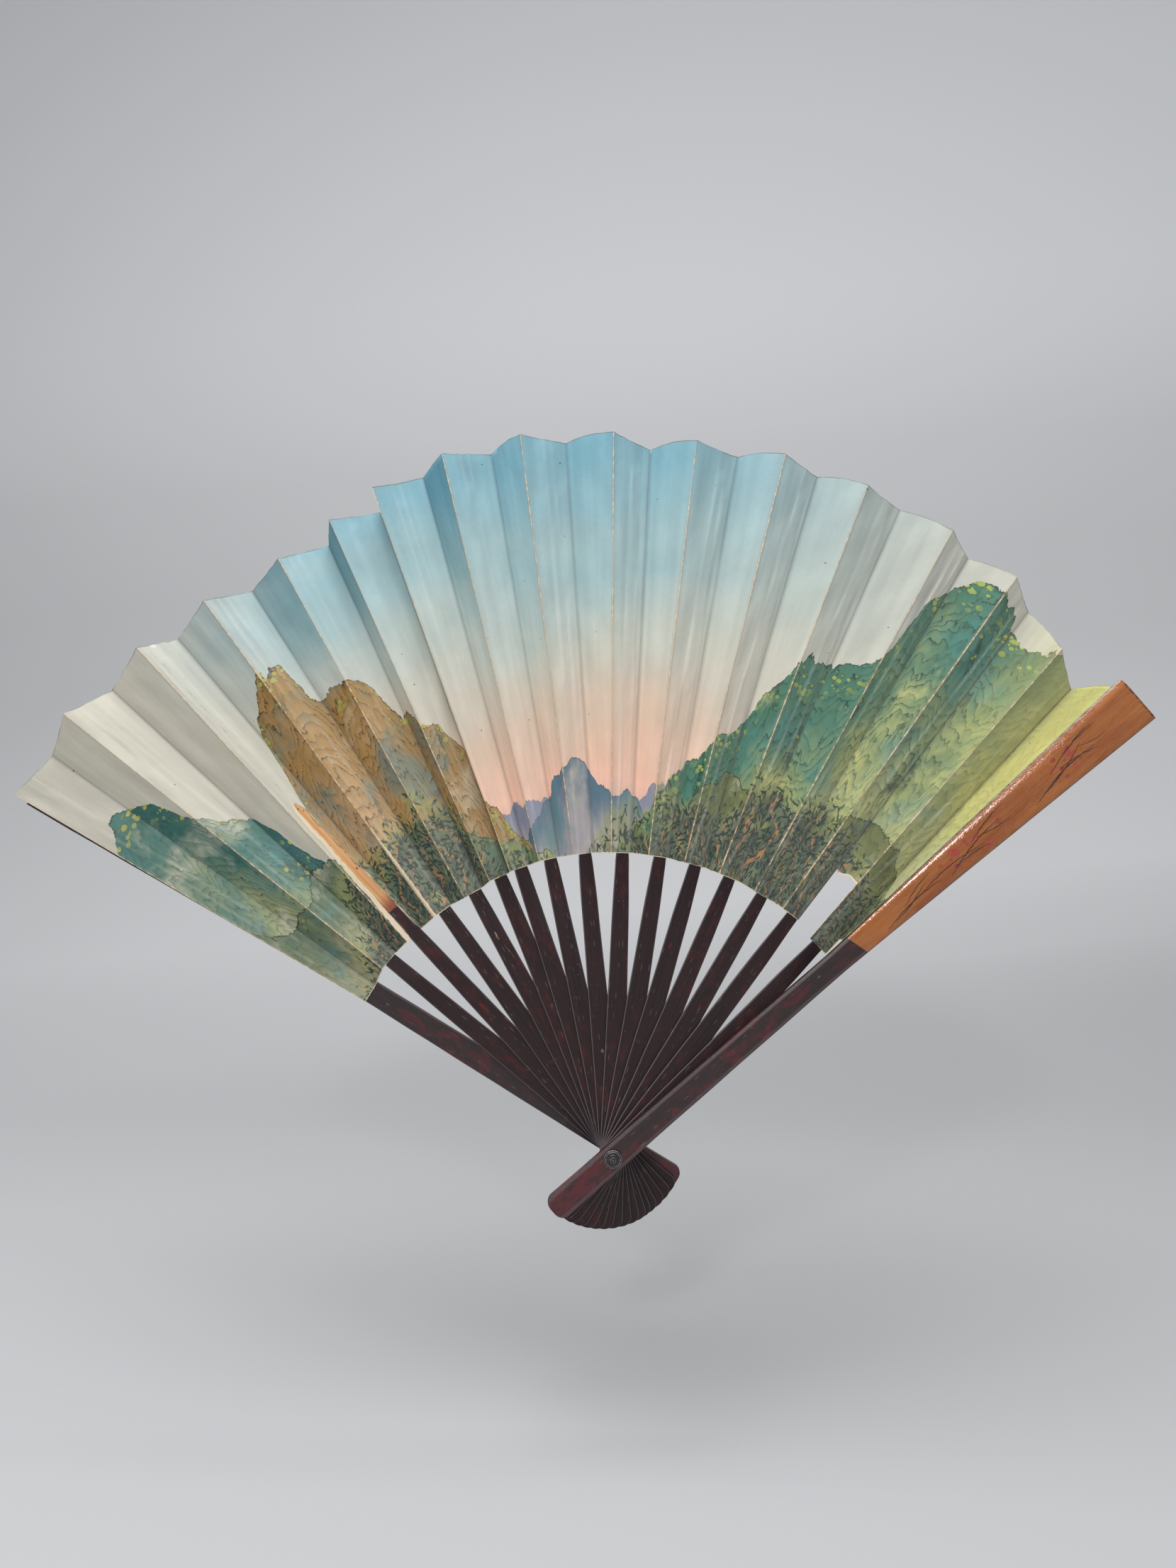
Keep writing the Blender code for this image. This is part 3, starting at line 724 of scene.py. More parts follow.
@dataclass(frozen=True)
class PlainPaper:
    """Unprinted paper, for the leaf's back and its torn edges."""

    effects: Effects
    name: str
    light: Colour = (0.70, 0.65, 0.53)
    dark: Colour = (0.58, 0.51, 0.38)

    def material(self) -> bpy.types.Material:
        """The material."""
        made, g, shader = new_material(self.name)
        uv = g.uv("leaf")
        fibre = g.call(self.effects.fibre, {"Vector": uv})
        aged = g.mul(g.span(fibre["Cloud"], 0.35, 0.75), 0.3)
        near_rim = g.span(g.attribute("rim"), 9.0, 0.0, 0.0, 0.6)
        worn = g.span(g.attribute("gully"), 0.7, 0.2)
        colour = g.paint(
            g.mix(g.most(aged, near_rim), self.light, self.dark),
            (self.effects.dots(g, uv, (160.0, 160.0), 0.09, 0.2), 0.6, (0.16, 0.10, 0.05)),
            (worn, 0.5, (0.80, 0.75, 0.64)))
        g.fill(shader, {
            "Base Color": colour, "Roughness": g.add(0.68, g.mul(fibre["Tooth"], 0.16)),
            "Normal": bump(g, fibre["Height"], 0.06 * MM, 0.5), "Specular IOR Level": 0.25})
        return made


@dataclass(frozen=True)
class Stroke:
    """One brush stroke or chip on a stick, in millimetres along it and to its left."""

    start: float
    length: float
    middle: float
    width: float
    slope: float = 0.0
    bow: float = 0.0
    stick: int = 0
    colour: Colour = (0.012, 0.009, 0.008)

    def mask(self, g: Graph, effects: Effects, uv: Socket) -> Socket:
        """Where the stroke is."""
        return g.call(effects.stroke, {
            "Vector": uv, "Start": self.start * MM, "Length": self.length * MM,
            "Middle": self.middle * MM + self.stick * RIB_UV_STEP, "Slope": self.slope * MM,
            "Bow": self.bow * MM, "Width": self.width * MM})["Mask"]


def chip(stick: int, start: float, length: float, middle: float, width: float,
         colour: Colour) -> Stroke:
    """A straight chip or patch in a stick's lacquer."""
    return Stroke(start, length, middle, width, stick=stick, colour=colour)


RIB_UV_STEP = 37.0 * MM


@dataclass(frozen=True)
class Lacquer:
    """Dark lacquered bamboo, which is bare above a ragged line across the stick: the ribs."""

    effects: Effects
    name: str = "dark_lacquer"
    dark: Colour = (0.0175, 0.0085, 0.009)
    red: Colour = (0.058, 0.0115, 0.0125)
    rubbed: Colour = (0.13, 0.115, 0.12)
    cane: Colour = (0.47, 0.20, 0.075)
    red_tail: bool = False
    bare_from: float = 137.0 * MM
    chips: tuple[Stroke, ...] = (
        chip(4, 100.0, 4.0, 0.6, 0.42, (0.42, 0.27, 0.18)),
        chip(4, 93.0, 2.2, -0.9, 0.25, (0.30, 0.24, 0.22)),
        chip(8, 41.0, 1.6, 0.2, 0.75, (0.20, 0.17, 0.17)),
        chip(8, 31.0, 1.5, 0.1, 0.6, (0.22, 0.19, 0.19)),
        chip(2, 79.0, 4.2, 0.3, 0.8, (0.14, 0.010, 0.014)),
        chip(3, 60.0, 3.0, -1.2, 0.5, (0.12, 0.010, 0.013)),
        chip(11, 88.0, 3.4, 0.8, 0.55, (0.13, 0.010, 0.013)),
        chip(13, 70.0, 2.6, -0.6, 0.5, (0.12, 0.010, 0.012)))

    def material(self) -> bpy.types.Material:
        """The material, which reads the stick's UV map and its edge value."""
        made, g, shader = new_material(self.name)
        uv = g.uv("stick")
        grain = g.call(self.effects.grain, {"Vector": uv})
        colour, rubbed = self.colour(g, uv, grain)
        along = g.parts(uv)[0]
        ragged = g.mul(g.sub(g.noise(uv, 500.0, 3.0), 0.5), 0.003)
        bare = g.span(g.add(along, ragged), self.bare_from - 0.0003, self.bare_from + 0.0003)
        cane = g.paint(
            g.mix(grain["Streaks"], self.cane, (0.60, 0.34, 0.15)),
            (self.effects.dots(g, uv, (480.0, 900.0), 0.3, 0.14), 0.85, (0.05, 0.02, 0.01)),
            (g.span(along, self.bare_from + 0.009, self.bare_from + 0.001), 0.8, (0.17, 0.03, 0.02)))
        g.fill(shader, {
            "Base Color": g.mix(bare, colour, cane),
            "Roughness": g.add(g.add(0.34, g.mul(grain["Streaks"], 0.12)), g.mul(rubbed, 0.2)),
            "Normal": bump(g, grain["Height"], 0.07 * MM, 0.5), "Specular IOR Level": 0.3})
        return made

    def colour(self, g: Graph, uv: Socket, grain: bpy.types.NodeOutputs) -> tuple[Socket, Socket]:
        """Mottled lacquer with rubbed edges, scuffs, dust and chips.

        Args:
            g: The material's graph.
            uv: The stick's UV map.
            grain: The grain's outputs.

        Returns:
            The colour, and how rubbed it is.
        """
        effects = self.effects
        mottle = g.noise(uv, (130.0, 260.0), 5.0, 0.65)
        patches = g.noise(uv, (22.0, 60.0), 3.0, 0.6)
        redder = g.mul(g.span(mottle, 0.42, 0.68), g.span(patches, 0.4, 0.62))
        if self.red_tail:
            tail = g.mul(g.span(g.parts(uv)[0], 0.012, -0.012), g.span(mottle, 0.34, 0.56))
            redder = g.most(redder, g.mul(tail, 0.85))
        worn = g.call(effects.wear, {
            "Edge": g.attribute("edge"), "Vector": uv, "Amount": 1.02})["Mask"]
        scuffs = effects.dots(g, uv, (230.0, 3200.0), 0.36, 0.07)
        dust = g.mul(effects.dots(g, uv, (1400.0, 1700.0), 0.25, 0.07),
                     g.span(g.noise(uv, 130.0, 2.0), 0.5, 0.64))
        colour = g.paint(
            g.mix(redder, self.dark, self.red), (grain["Lines"], 0.28, (0.045, 0.028, 0.03)),
            (worn, 0.7, self.rubbed), (g.most(g.mul(scuffs, 0.5), dust), 0.5, (0.36, 0.33, 0.33)))
        ragged = g.span(g.add(g.mul(mottle, 0.6), g.mul(grain["Lines"], 0.25)), 0.3, 0.42)
        for stroke in self.chips:
            mask = g.mul(stroke.mask(g, effects, uv), ragged)
            colour = g.paint(colour, (mask, 0.8, stroke.colour))
        return colour, g.most(worn, scuffs)


@dataclass(frozen=True)
class Varnish:
    """A guard: dark lacquer below a slanted line and glossy amber bamboo above it."""

    effects: Effects
    name: str = "amber_varnish"
    amber: Colour = (0.37, 0.12, 0.024)
    deep: Colour = (0.23, 0.055, 0.012)
    bare_from: float = 133.5 * MM
    chips: tuple[Stroke, ...] = (
        chip(0, 94.0, 15.0, 0.6, 2.3, (0.085, 0.008, 0.014)),
        chip(0, 112.0, 2.2, 1.2, 0.6, (0.30, 0.26, 0.25)),
        chip(0, 66.0, 9.0, -1.5, 1.2, (0.06, 0.009, 0.012)))
    reeds: tuple[Stroke, ...] = (
        Stroke(147, 30, -3.6, 0.3, 1.4, 1.3), Stroke(151, 20, -3.4, 0.26, 4.6, -0.8),
        Stroke(158, 17, -1.2, 0.22, 4.2, 0.9), Stroke(166, 34, -1.6, 0.24, -1.2, 1.8),
        Stroke(181, 30, -4.2, 0.3, 5.2, 1.4), Stroke(186, 16, -2.6, 0.22, -1.8, 0.7),
        Stroke(194, 22, 0.2, 0.26, 4.6, 0.9), Stroke(199, 15, 1.4, 0.22, -3.2, -0.6),
        Stroke(226, 34, -5.4, 0.32, 3.4, 1.8), Stroke(232, 24, -4.0, 0.26, 6.4, -1.0),
        Stroke(238, 26, 0.2, 0.28, 4.4, 1.6), Stroke(243, 18, -0.4, 0.22, -3.4, 0.8),
        Stroke(250, 16, 3.4, 0.24, 1.6, 1.1), Stroke(254, 13, 1.8, 0.2, -2.8, -0.7))

    def material(self) -> bpy.types.Material:
        """The material, which reads the stick's UV map and its edge, side and tip values."""
        made, g, shader = new_material(self.name)
        uv = g.uv("stick")
        grain = g.call(self.effects.grain, {"Vector": uv})
        lacquer = Lacquer(self.effects, red=(0.105, 0.008, 0.013), rubbed=(0.085, 0.06, 0.062),
                          red_tail=True, chips=self.chips)
        dark, _ = lacquer.colour(g, uv, grain)
        along, across, _ = g.parts(uv)
        slanted = g.add(along, g.mul(across, 0.25))
        bare = g.span(slanted, self.bare_from - 0.0002, self.bare_from + 0.0002)
        warm = g.noise(uv, (16.0, 120.0), 4.0, 0.6)
        cane = g.paint(g.mix(g.span(warm, 0.3, 0.7), self.amber, self.deep),
                       (grain["Lines"], 0.3, (0.46, 0.18, 0.05)))
        cane = self._drawing(g, uv, along, across, cane)
        cane = g.mix(g.span(g.attribute("side"), 0.62, 0.8), cane, (0.022, 0.010, 0.009))
        tip = g.mul(g.span(g.attribute("tip"), 1.2, 0.3),
                    g.span(g.noise(uv, 420.0, 4.0, 0.6), 0.4, 0.55))
        cane = g.paint(cane, (tip, 0.9, (0.03, 0.014, 0.008)))
        rough = g.add(g.sub(0.34, g.mul(bare, 0.29)), g.mul(g.noise(uv, 300.0, 4.0), 0.1))
        dimples = g.noise(uv, (520.0, 800.0), 3.0, 0.6)
        patches = g.noise(uv, (230.0, 640.0), 4.0, 0.7)
        fibres = bump(g, grain["Height"], 0.05 * MM, 0.35)
        g.fill(shader, {
            "Base Color": g.mix(bare, dark, cane), "Roughness": rough,
            "Normal": bump(g, dimples, 0.35 * MM, 0.36, fibres),
            "Coat Weight": g.mul(bare, g.span(patches, 0.4, 0.58)), "Coat Roughness": 0.19,
            "Specular IOR Level": 0.55})
        return made

    def _drawing(self, g: Graph, uv: Socket, along: Socket, across: Socket,
                 under: Socket) -> Socket:
        """Reeds in ink, with a few crimson seed heads."""
        ink = g.most(*(stroke.mask(g, self.effects, uv) for stroke in self.reeds))
        heads = self.effects.dots(g, uv, (330.0, 420.0), 0.42, 0.4)
        low = g.mul(g.span(along, 0.176, 0.184), g.span(along, 0.214, 0.206))
        high = g.mul(g.span(along, 0.236, 0.241), g.span(along, 0.259, 0.253))
        band = g.mul(g.most(low, high), g.span(g.math("ABSOLUTE", across), 0.0062, 0.004))
        wash = g.mul(band, g.span(g.noise(uv, 190.0, 3.0), 0.5, 0.66))
        return g.paint(under, (wash, 0.75, (0.36, 0.035, 0.04)),
                       (g.mul(heads, band), 0.8, (0.25, 0.012, 0.03)),
                       (ink, 0.93, self.reeds[0].colour))


@dataclass(frozen=True)
class DarkMetal:
    """The rivet: darkened metal whose raised rings are rubbed bright."""

    effects: Effects
    dark: Colour = (0.028, 0.024, 0.026)
    bright: Colour = (0.34, 0.33, 0.33)

    def material(self) -> bpy.types.Material:
        """The material, which reads the raised value of the rings."""
        made, g, shader = new_material("dark_metal")
        patches = g.noise(g.uv("stick"), (900.0, 900.0), 4.0, 0.65)
        worn = g.span(g.add(g.attribute("edge"), g.mul(g.sub(patches, 0.5), 1.3)), 0.6, 1.0)
        g.fill(shader, {
            "Base Color": g.mix(worn, self.dark, self.bright),
            "Metallic": g.add(0.25, g.mul(worn, 0.5)),
            "Roughness": g.add(0.34, g.mul(patches, 0.25)),
            "Normal": bump(g, patches, 0.08 * MM, 0.5)})
        return made


def grid_faces(rows: int, columns: int, wrap: bool) -> Array:
    """The quads of a grid of points numbered row by row.

    Args:
        rows: Points from the first row to the last.
        columns: Points in a row.
        wrap: Whether the last column joins the first.

    Returns:
        Four point numbers a quad.
    """
    i = np.arange(rows - 1)[:, None] * columns
    j = np.arange(columns if wrap else columns - 1)[None, :]
    k = (j + 1) % columns
    return np.stack([i + j, i + k, i + columns + k, i + columns + j], axis=-1).reshape(-1, 4)


def build_mesh(name: str, points: Array, faces: list[Array], materials: list[bpy.types.Material],
               face_materials: Array | None, uv: tuple[str, Array],
               values: dict[str, Array]) -> bpy.types.Object:
    """A smooth mesh object from whole arrays.

    Args:
        name: The object's name.
        points: The points, one a row.
        faces: Arrays of point numbers, one row a face.
        materials: The materials.
        face_materials: Each face's material number, or None for the first.
        uv: The UV map's name, and a place for each point.
        values: A number for each point, by name.

    Returns:
        The object, linked to the scene.
    """
    mesh = bpy.data.meshes.new(name)
    sizes = np.concatenate([np.full(len(f), f.shape[1], np.int32) for f in faces])
    corners = np.concatenate([f.ravel() for f in faces]).astype(np.int32)
    mesh.vertices.add(len(points))
    mesh.vertices.foreach_set("co", points.astype(np.float32).ravel())
    mesh.loops.add(len(corners))
    mesh.loops.foreach_set("vertex_index", corners)
    mesh.polygons.add(len(sizes))
    starts = np.concatenate([[0], np.cumsum(sizes)[:-1]]).astype(np.int32)
    mesh.polygons.foreach_set("loop_start", starts)
    for material in materials:
        mesh.materials.append(material)
    if face_materials is not None:
        mesh.polygons.foreach_set("material_index", face_materials.astype(np.int32))
    mesh.update(calc_edges=True)
    layer = mesh.uv_layers.new(name=uv[0])
    layer.data.foreach_set("uv", uv[1][corners].astype(np.float32).ravel())
    for key, value in values.items():
        attribute = mesh.attributes.new(key, "FLOAT", "POINT")
        attribute.data.foreach_set("value", value.astype(np.float32).ravel())
    mesh.shade_smooth()
    obj = bpy.data.objects.new(name, mesh)
    bpy.context.scene.collection.objects.link(obj)
    return obj


@dataclass(frozen=True)
class Section:
    """A bar's cross-section, with an elliptical corner of its own on each side."""

    left_corner: tuple[float, float]
    right_corner: tuple[float, float]
    corner_steps: int = 5
    crown: float = 0.0
    inner_corner: tuple[float, float] = (0.4 * MM, 0.3 * MM)
    crowned_flat: float = 3.6 * MM
    widest: float = 0.33
    deepest: float = 0.9
    inset: float = 0.25 * MM

    def corner(self, width: Array, thick: Array, left: bool, outer: bool) -> tuple[Array, Array]:
        """One corner, from the side to the face: how far out and how far up each point is.

        A plain corner is a quarter ellipse. On a crowned bar, each outer corner is an arc that bends
        from level to the crown's angle and ends in a sharp edge.

        Args:
            width: Half the width at each station.
            thick: Half the thickness at each station.
            left: Whether the corner is on the left.
            outer: Whether it is on the outer face.

        Returns:
            The points, one row a station.
        """
        reach, drop = self.left_corner if left else self.right_corner
        turn = np.linspace(0.0, math.pi / 2.0, self.corner_steps)
        most = self.widest * width
        if self.crown and left:
            most = np.maximum(most, width - self.crowned_flat)
        wide = np.minimum(reach if outer else self.inner_corner[0], most)
        if outer and self.crown:
            bend = self.crown * (1.0 - turn / turn[-1])
            scale = wide / math.sin(self.crown)
            return width - wide + scale * np.sin(bend), thick - scale * (1.0 - np.cos(bend))
        deep = np.minimum(drop if outer else self.inner_corner[1], self.deepest * thick)
        return width - wide + wide * np.cos(turn), thick - deep + deep * np.sin(turn)

    def outline(self, half_width: Array, half_thickness: Array) -> tuple[Array, ...]:
        """The outline at every station.

        Each corner is met by a point just inside it that keeps the flats flat.

        Args:
            half_width: Half the width at each station.
            half_thickness: Half the thickness at each station.

        Returns:
            How far left and how far back each point is, how much it is an edge, and how much it
            is on a side or the inner face, one row a station.
        """
        turn = np.linspace(0.0, math.pi / 2.0, self.corner_steps)
        width = half_width[:, None]
        thick = half_thickness[:, None]
        lefts, backs, edges, sides = [], [], [], []
        for side, front in ((1, 1), (-1, 1), (-1, -1), (1, -1)):
            out, rise = self.corner(width, thick, side > 0, front > 0)
            sweep = turn if side * front > 0 else turn[::-1]
            if side * front < 0:
                out, rise = out[:, ::-1], rise[:, ::-1]
            left, back = side * out, -front * rise
            flat_left = side * (out.min(axis=1, keepdims=True) - self.inset)
            flat_back = -front * thick
            edge = np.broadcast_to(np.sin(2.0 * sweep) ** 0.5, left.shape)
            narrow = 24 if self.crown else 1
            flank = np.broadcast_to(np.cos(sweep) ** narrow if front > 0 else 1.0, left.shape)
            flat = np.zeros_like(flat_left)
            order = slice(None, None, 1 if side * front > 0 else -1)
            lefts += [left, flat_left][order]
            backs += [back, flat_back][order]
            edges += [edge, flat][order]
            sides += [flank, flat if front > 0 else flat + 1.0][order]
        return tuple(np.concatenate(rows, axis=1) for rows in (lefts, backs, edges, sides))


@dataclass
class Stick:
    """A rib or a guard as one bar, carried along its own length."""

    index: int
    material: bpy.types.Material
    end: float
    fan: Fan = FAN

    @property
    def is_guard(self) -> bool:
        """Whether the stick is one of the two outer ones."""
        return self.index in (0, self.fan.front)

    @property
    def outward(self) -> float:
        """1 on the rear guard and -1 on the front one, the way its blade leans."""
        return 1.0 if self.index == 0 else -1.0

    @property
    def name(self) -> str:
        """The name of the node that the stick stands for."""
        if self.index == 0:
            return "guard_rear"
        return "guard_front" if self.is_guard else f"rib_{self.index:02d}"

    def stations(self) -> tuple[Array, Array]:
        """Where the bar's cross-sections are, and how much a tail's corner narrows each side."""
        turn = np.linspace(0.0, math.pi / 2.0, 9)
        corner = self.fan.tail_corner
        tail = corner * (1.0 - np.cos(turn)) - self.fan.tail
        body = np.linspace(tail[-1], self.end, 92)[1:]
        u = np.concatenate([tail, body])
        return u, np.concatenate([corner * (1.0 - np.sin(turn)), np.zeros(len(body))])

    def half_width(self, u: Array) -> Array:
        """Half the bar's width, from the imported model, with the small unevenness of handwork."""
        fan = self.fan
        if self.is_guard:
            places = (-fan.tail, 0.0, fan.leaf_inner, fan.leaf_outer - 8.0 * MM)
            widths = (11.4, 10.8, 9.5, 21.6 if self.index else 18.8)
        else:
            places = (-fan.tail, 0.0, fan.leaf_inner, fan.leaf_inner + 4.0 * MM,
                      fan.leaf_outer - 11.0 * MM)
            widths = (11.0, 10.4, 6.2, 5.0, 3.0)
        uneven = 0.05 * MM * ripple(u / (30.0 * MM), np.zeros_like(u), 40 + self.index)
        return np.interp(u, places, np.array(widths) / 2.0 * MM) + uneven

    def thickness(self, u: Array) -> Array:
        """The bar's thickness at u."""
        fan = self.fan
        if self.is_guard:
            return np.interp(u, (fan.leaf_inner, fan.leaf_outer - 8.0 * MM),
                             (fan.guard_thickness, 2.2 * MM))
        thin = (fan.leaf_inner - 24.0 * MM, fan.leaf_inner - 1.0 * MM)
        return np.interp(u, thin, (fan.rib_thickness, 0.3 * MM))

    def lean(self, u: Array) -> tuple[Array, Array]:
        """The bar's shift to the back and its twist, where it meets the leaf."""
        if self.is_guard:
            shift = self.fan.guard_shift(u) - (self.fan.guard_thickness - self.thickness(u)) / 2.0
            return self.outward * shift, np.zeros_like(u)
        start = self.fan.leaf_inner - 26.0 * MM
        return np.zeros_like(u), self.fan.leaf_tilt * eased((u - start) / (25.0 * MM))

    def build(self) -> bpy.types.Object:
        """The stick's object: its outline at each station, leant, twisted, turned and drilled."""
        u, narrower = self.stations()
        if self.is_guard:
            section = Section((5.0 * MM, 0.0), (2.4 * MM, 0.0), 10, math.radians(36.0))
        else:
            section = Section((0.55 * MM, 0.34 * MM), (0.4 * MM, 0.3 * MM))
        half = self.half_width(u) - narrower
        left, back, edge, side = section.outline(half, self.thickness(u) / 2.0)
        if self.index == 0:
            left, back, edge, side = left[:, ::-1], -back[:, ::-1], edge[:, ::-1], side[:, ::-1]
        shift, twist = self.lean(u)
        turned_left = left * np.cos(twist)[:, None] + back * np.sin(twist)[:, None]
        depth = back * np.cos(twist)[:, None] - left * np.sin(twist)[:, None] + shift[:, None]
        along = np.broadcast_to(u[:, None], left.shape)
        points = self.fan.place(self.index, along, turned_left, depth).reshape(-1, 3)
        rows, columns = left.shape
        tip = np.broadcast_to((u[-1] - u)[:, None] / MM, left.shape)
        uv = np.stack([along, left + RIB_UV_STEP * self.index * (not self.is_guard)], -1)
        faces = [grid_faces(rows, columns, True), np.arange(columns)[None, ::-1],
                 np.arange(columns)[None, :] + (rows - 1) * columns]
        obj = build_mesh(self.name + "_finished", points, faces, [self.material], None,
                         ("stick", uv.reshape(-1, 2)), {"edge": edge, "side": side, "tip": tip})
        point_outwards(obj)
        drill(obj, self.fan.hole)
        obj.data.set_sharp_from_angle(angle=math.radians(46.0))
        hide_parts(self.name)
        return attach(obj, self.fan.body(self.index))


def point_outwards(obj: bpy.types.Object, merged: bool = False) -> None:
    """Turns a closed mesh's faces so that they all look outwards.

    Args:
        obj: The mesh object.
        merged: Whether vertices that lie on each other are joined first.
    """
    shape = bmesh.new()
    shape.from_mesh(obj.data)
    if merged:
        bmesh.ops.remove_doubles(shape, verts=shape.verts, dist=SAME_PLACE)
    bmesh.ops.recalc_face_normals(shape, faces=shape.faces)
    shape.to_mesh(obj.data)
    shape.free()


def drill(obj: bpy.types.Object, radius: float, steps: int = 32, reach: float = 0.05) -> None:
    """Cuts the rivet's hole along Y through a stick.

    Args:
        obj: The stick.
        radius: The hole's radius.
        steps: Points round the hole.
        reach: Half the cutter's length.
    """
    turn = np.linspace(0.0, 2.0 * math.pi, steps + 1)[:-1]
    ring = np.stack([radius * np.cos(turn), np.zeros(steps), radius * np.sin(turn)], axis=1)
    points = np.concatenate([ring + (0.0, -reach, 0.0), ring + (0.0, reach, 0.0)])
    faces = [grid_faces(2, steps, True), np.arange(steps)[None, ::-1],
             np.arange(steps)[None, :] + steps]
    cutter = build_mesh("cutter", points, faces, [], None, ("stick", points[:, :2]), {})
    point_outwards(cutter)
    modifier = obj.modifiers.new("hole", "BOOLEAN")
    modifier.operation = "DIFFERENCE"
    modifier.object = cutter
    bpy.context.view_layer.update()
    cut = bpy.data.meshes.new_from_object(obj.evaluated_get(bpy.context.evaluated_depsgraph_get()))
    obj.modifiers.remove(modifier)
    obj.data = cut
    bpy.data.objects.remove(cutter)


@dataclass
class Leaf:
    """The leaf: one closed sheet of paper, pleated into 33 facets.

    Every crease is a straight line between its ends, each at an angle to the stick, in degrees. The
    angles and the ends' lengths, in millimetres, were measured in the photograph.
    """

    front: bpy.types.Material
    back: bpy.types.Material
    torn: bpy.types.Material
    fan: Fan = FAN
    paper: float = 0.26 * MM
    pocket: float = 0.5 * MM
    rows: int = 84
    peak_angles: tuple[float, ...] = (
        1.64, 1.38, 0.65, 1.24, 1.13, 1.71, 1.84, 1.67, 2.07, 1.88, 2.48, 2.26, 2.17, 1.48, 2.1,
        2.79, 1.85)
    peak_roots: tuple[float, ...] = (*(2.2,) * 13, 1.7, 2.45, 2.2, 2.2)
    peak_ends: tuple[float, ...] = (
        297.7, 296.6, 292.7, 288.9, 286.3, 290.4, 295.6, 300.7, 302.0, 300.3, 298.1, 299.0, 296.7,
        294.6, 291.2, 278.5, 283.0)
    valley_angles: tuple[float, ...] = (
        2.8, 2.44, 2.22, 2.39, 3.05, 2.5, 2.31, 2.17, 1.51, 1.18, 1.11, 0.82, 1.14, 0.88, 0.59,
        0.41, 1.85)
    valley_roots: tuple[float, ...] = (*(1.7,) * 14, 1.5, 2.5, 1.7)
    valley_ends: tuple[float, ...] = (
        292.4, 289.5, 284.9, 281.9, 282.8, 286.8, 295.0, 297.8, 298.2, 294.8, 295.8, 295.1, 294.1,
        288.8, 284.0, 271.0, 283.0)
    roots: tuple[float, ...] = (
        121.7, 123.2, 122.9, 123.1, 122.8, 124.0, 124.6, 125.2, 125.3, 125.2, 125.1, 125.0, 124.9,
        124.4, 124.3, 121.6, 121.8)
    fold_bulges: tuple[float, ...] = (
        0.0, -0.3, -0.3, -0.3, -0.3, 0.2, 0.3, 0.2, 1.0, 1.3, 1.3, 1.2, 1.2, 0.9, 0.8, 0.5, 1.0)
    torn_panel: int = 2
    torn_to: float = 199.0 * MM
    frayed: int = 3
    frayed_to: float = 185.0 * MM
    notch_fold: int = 15
    notch_to: float = 151.5 * MM
    flat_angle: float = math.radians(124.6)
    flat_radius: float = 0.21
    on_line: float = 1e-4

    def reach(self, index: int, side: int, u: Array) -> Array:
        """How far to the side of its stick a crease lies at u: a straight line between its ends."""
        angles = self.peak_angles if side > 0 else self.valley_angles
        roots = self.peak_roots if side > 0 else self.valley_roots
        end, root = self.end(index, side), self.fan.leaf_inner
        outer = end * math.tan(math.radians(angles[index]))
        inner = root * math.tan(math.radians(roots[index]))
        return inner + (outer - inner) * (u - root) / (end - root)

    def crease(self, index: int, side: int, u: Array) -> Array:
        """Points along one crease line.

        Args:
            index: The stick that the crease belongs to.
            side: 1 for the peak on the stick's left, -1 for the valley on its right.
            u: Lengths along the stick.

        Returns:
            The points: the stick's frame, with the panel tilted about the stick's middle, so that
            the slip lies inside it; an end panel lies flat against its guard's inner face.
        """
        fan = self.fan
        left = side * self.reach(index, side, u)
        if index in (0, fan.front):
            outward = 1.0 if index == 0 else -1.0
            inside = fan.guard_shift(u) - fan.guard_thickness / 2.0 - 0.2 * MM - self.paper / 2.0
            return fan.place(index, u, left, outward * inside)
        return fan.place(index, u, left, -left * math.tan(fan.leaf_tilt))

    def shares(self, index: int, is_panel: bool, u: Array) -> Array:
        """Where the columns of a facet lie across it, from its left crease to its right one.

        The columns crowd at the creases. On the torn panel, they follow the tear's two edges.

        Args:
            index: The facet's stick.
            is_panel: Whether it is a panel or a fold.
            u: Lengths along the stick, one a row.

        Returns:
            Shares from 0 to 1, one row a row and one column a column.
        """
        if not (is_panel and index == self.torn_panel):
            count = 22 if is_panel else 15
            inner = np.linspace(0.06, 0.94, count)
            shares = np.concatenate([[0.0, 0.02], inner, [0.98]])
            return np.broadcast_to(shares, (len(u), len(shares)))
        parts = []
        bounds = [np.zeros_like(u), *self.tear(u), np.full_like(u, 0.985)]
        for start, end, count in zip(bounds, bounds[1:], (10, 6, 1, 9, 1, 14)):
            step = np.arange(count) / count
            parts.append(start[:, None] + (end - start)[:, None] * step)
        return np.concatenate([*parts, np.full((len(u), 1), 0.985)], axis=1)

    def tear(self, u: Array) -> tuple[Array, Array, Array, Array, Array]:
        """The tear's lines across the torn panel, as shares: strip, both sides of each edge."""
        up = np.clip((u - self.fan.leaf_inner) / (self.torn_to - self.fan.leaf_inner), 0.0, 1.0)
        close = np.sqrt(np.clip((1.0 - up) / 0.06, 0.0, 1.0))
        ragged = 0.16 * ripple(u / (7.0 * MM), np.zeros_like(u), 61)
        rough = 0.22 * ripple(u / (4.0 * MM), np.zeros_like(u), 62)
        right = -(2.9 - 1.3 * up) * close + ragged
        left = (2.3 - 1.6 * up) * close + rough + 0.2
        strip = left + (1.9 - 0.5 * up) * close + 0.15 + 0.5 * rough
        wide = self.reach(self.torn_panel, 1, u) / MM
        total = wide + self.reach(self.torn_panel, -1, u) / MM
        lines = [(wide - x) / total for x in (strip, left, left - 0.07, right + 0.07, right)]
        return tuple(np.clip(line, 0.02, 0.97) for line in lines)

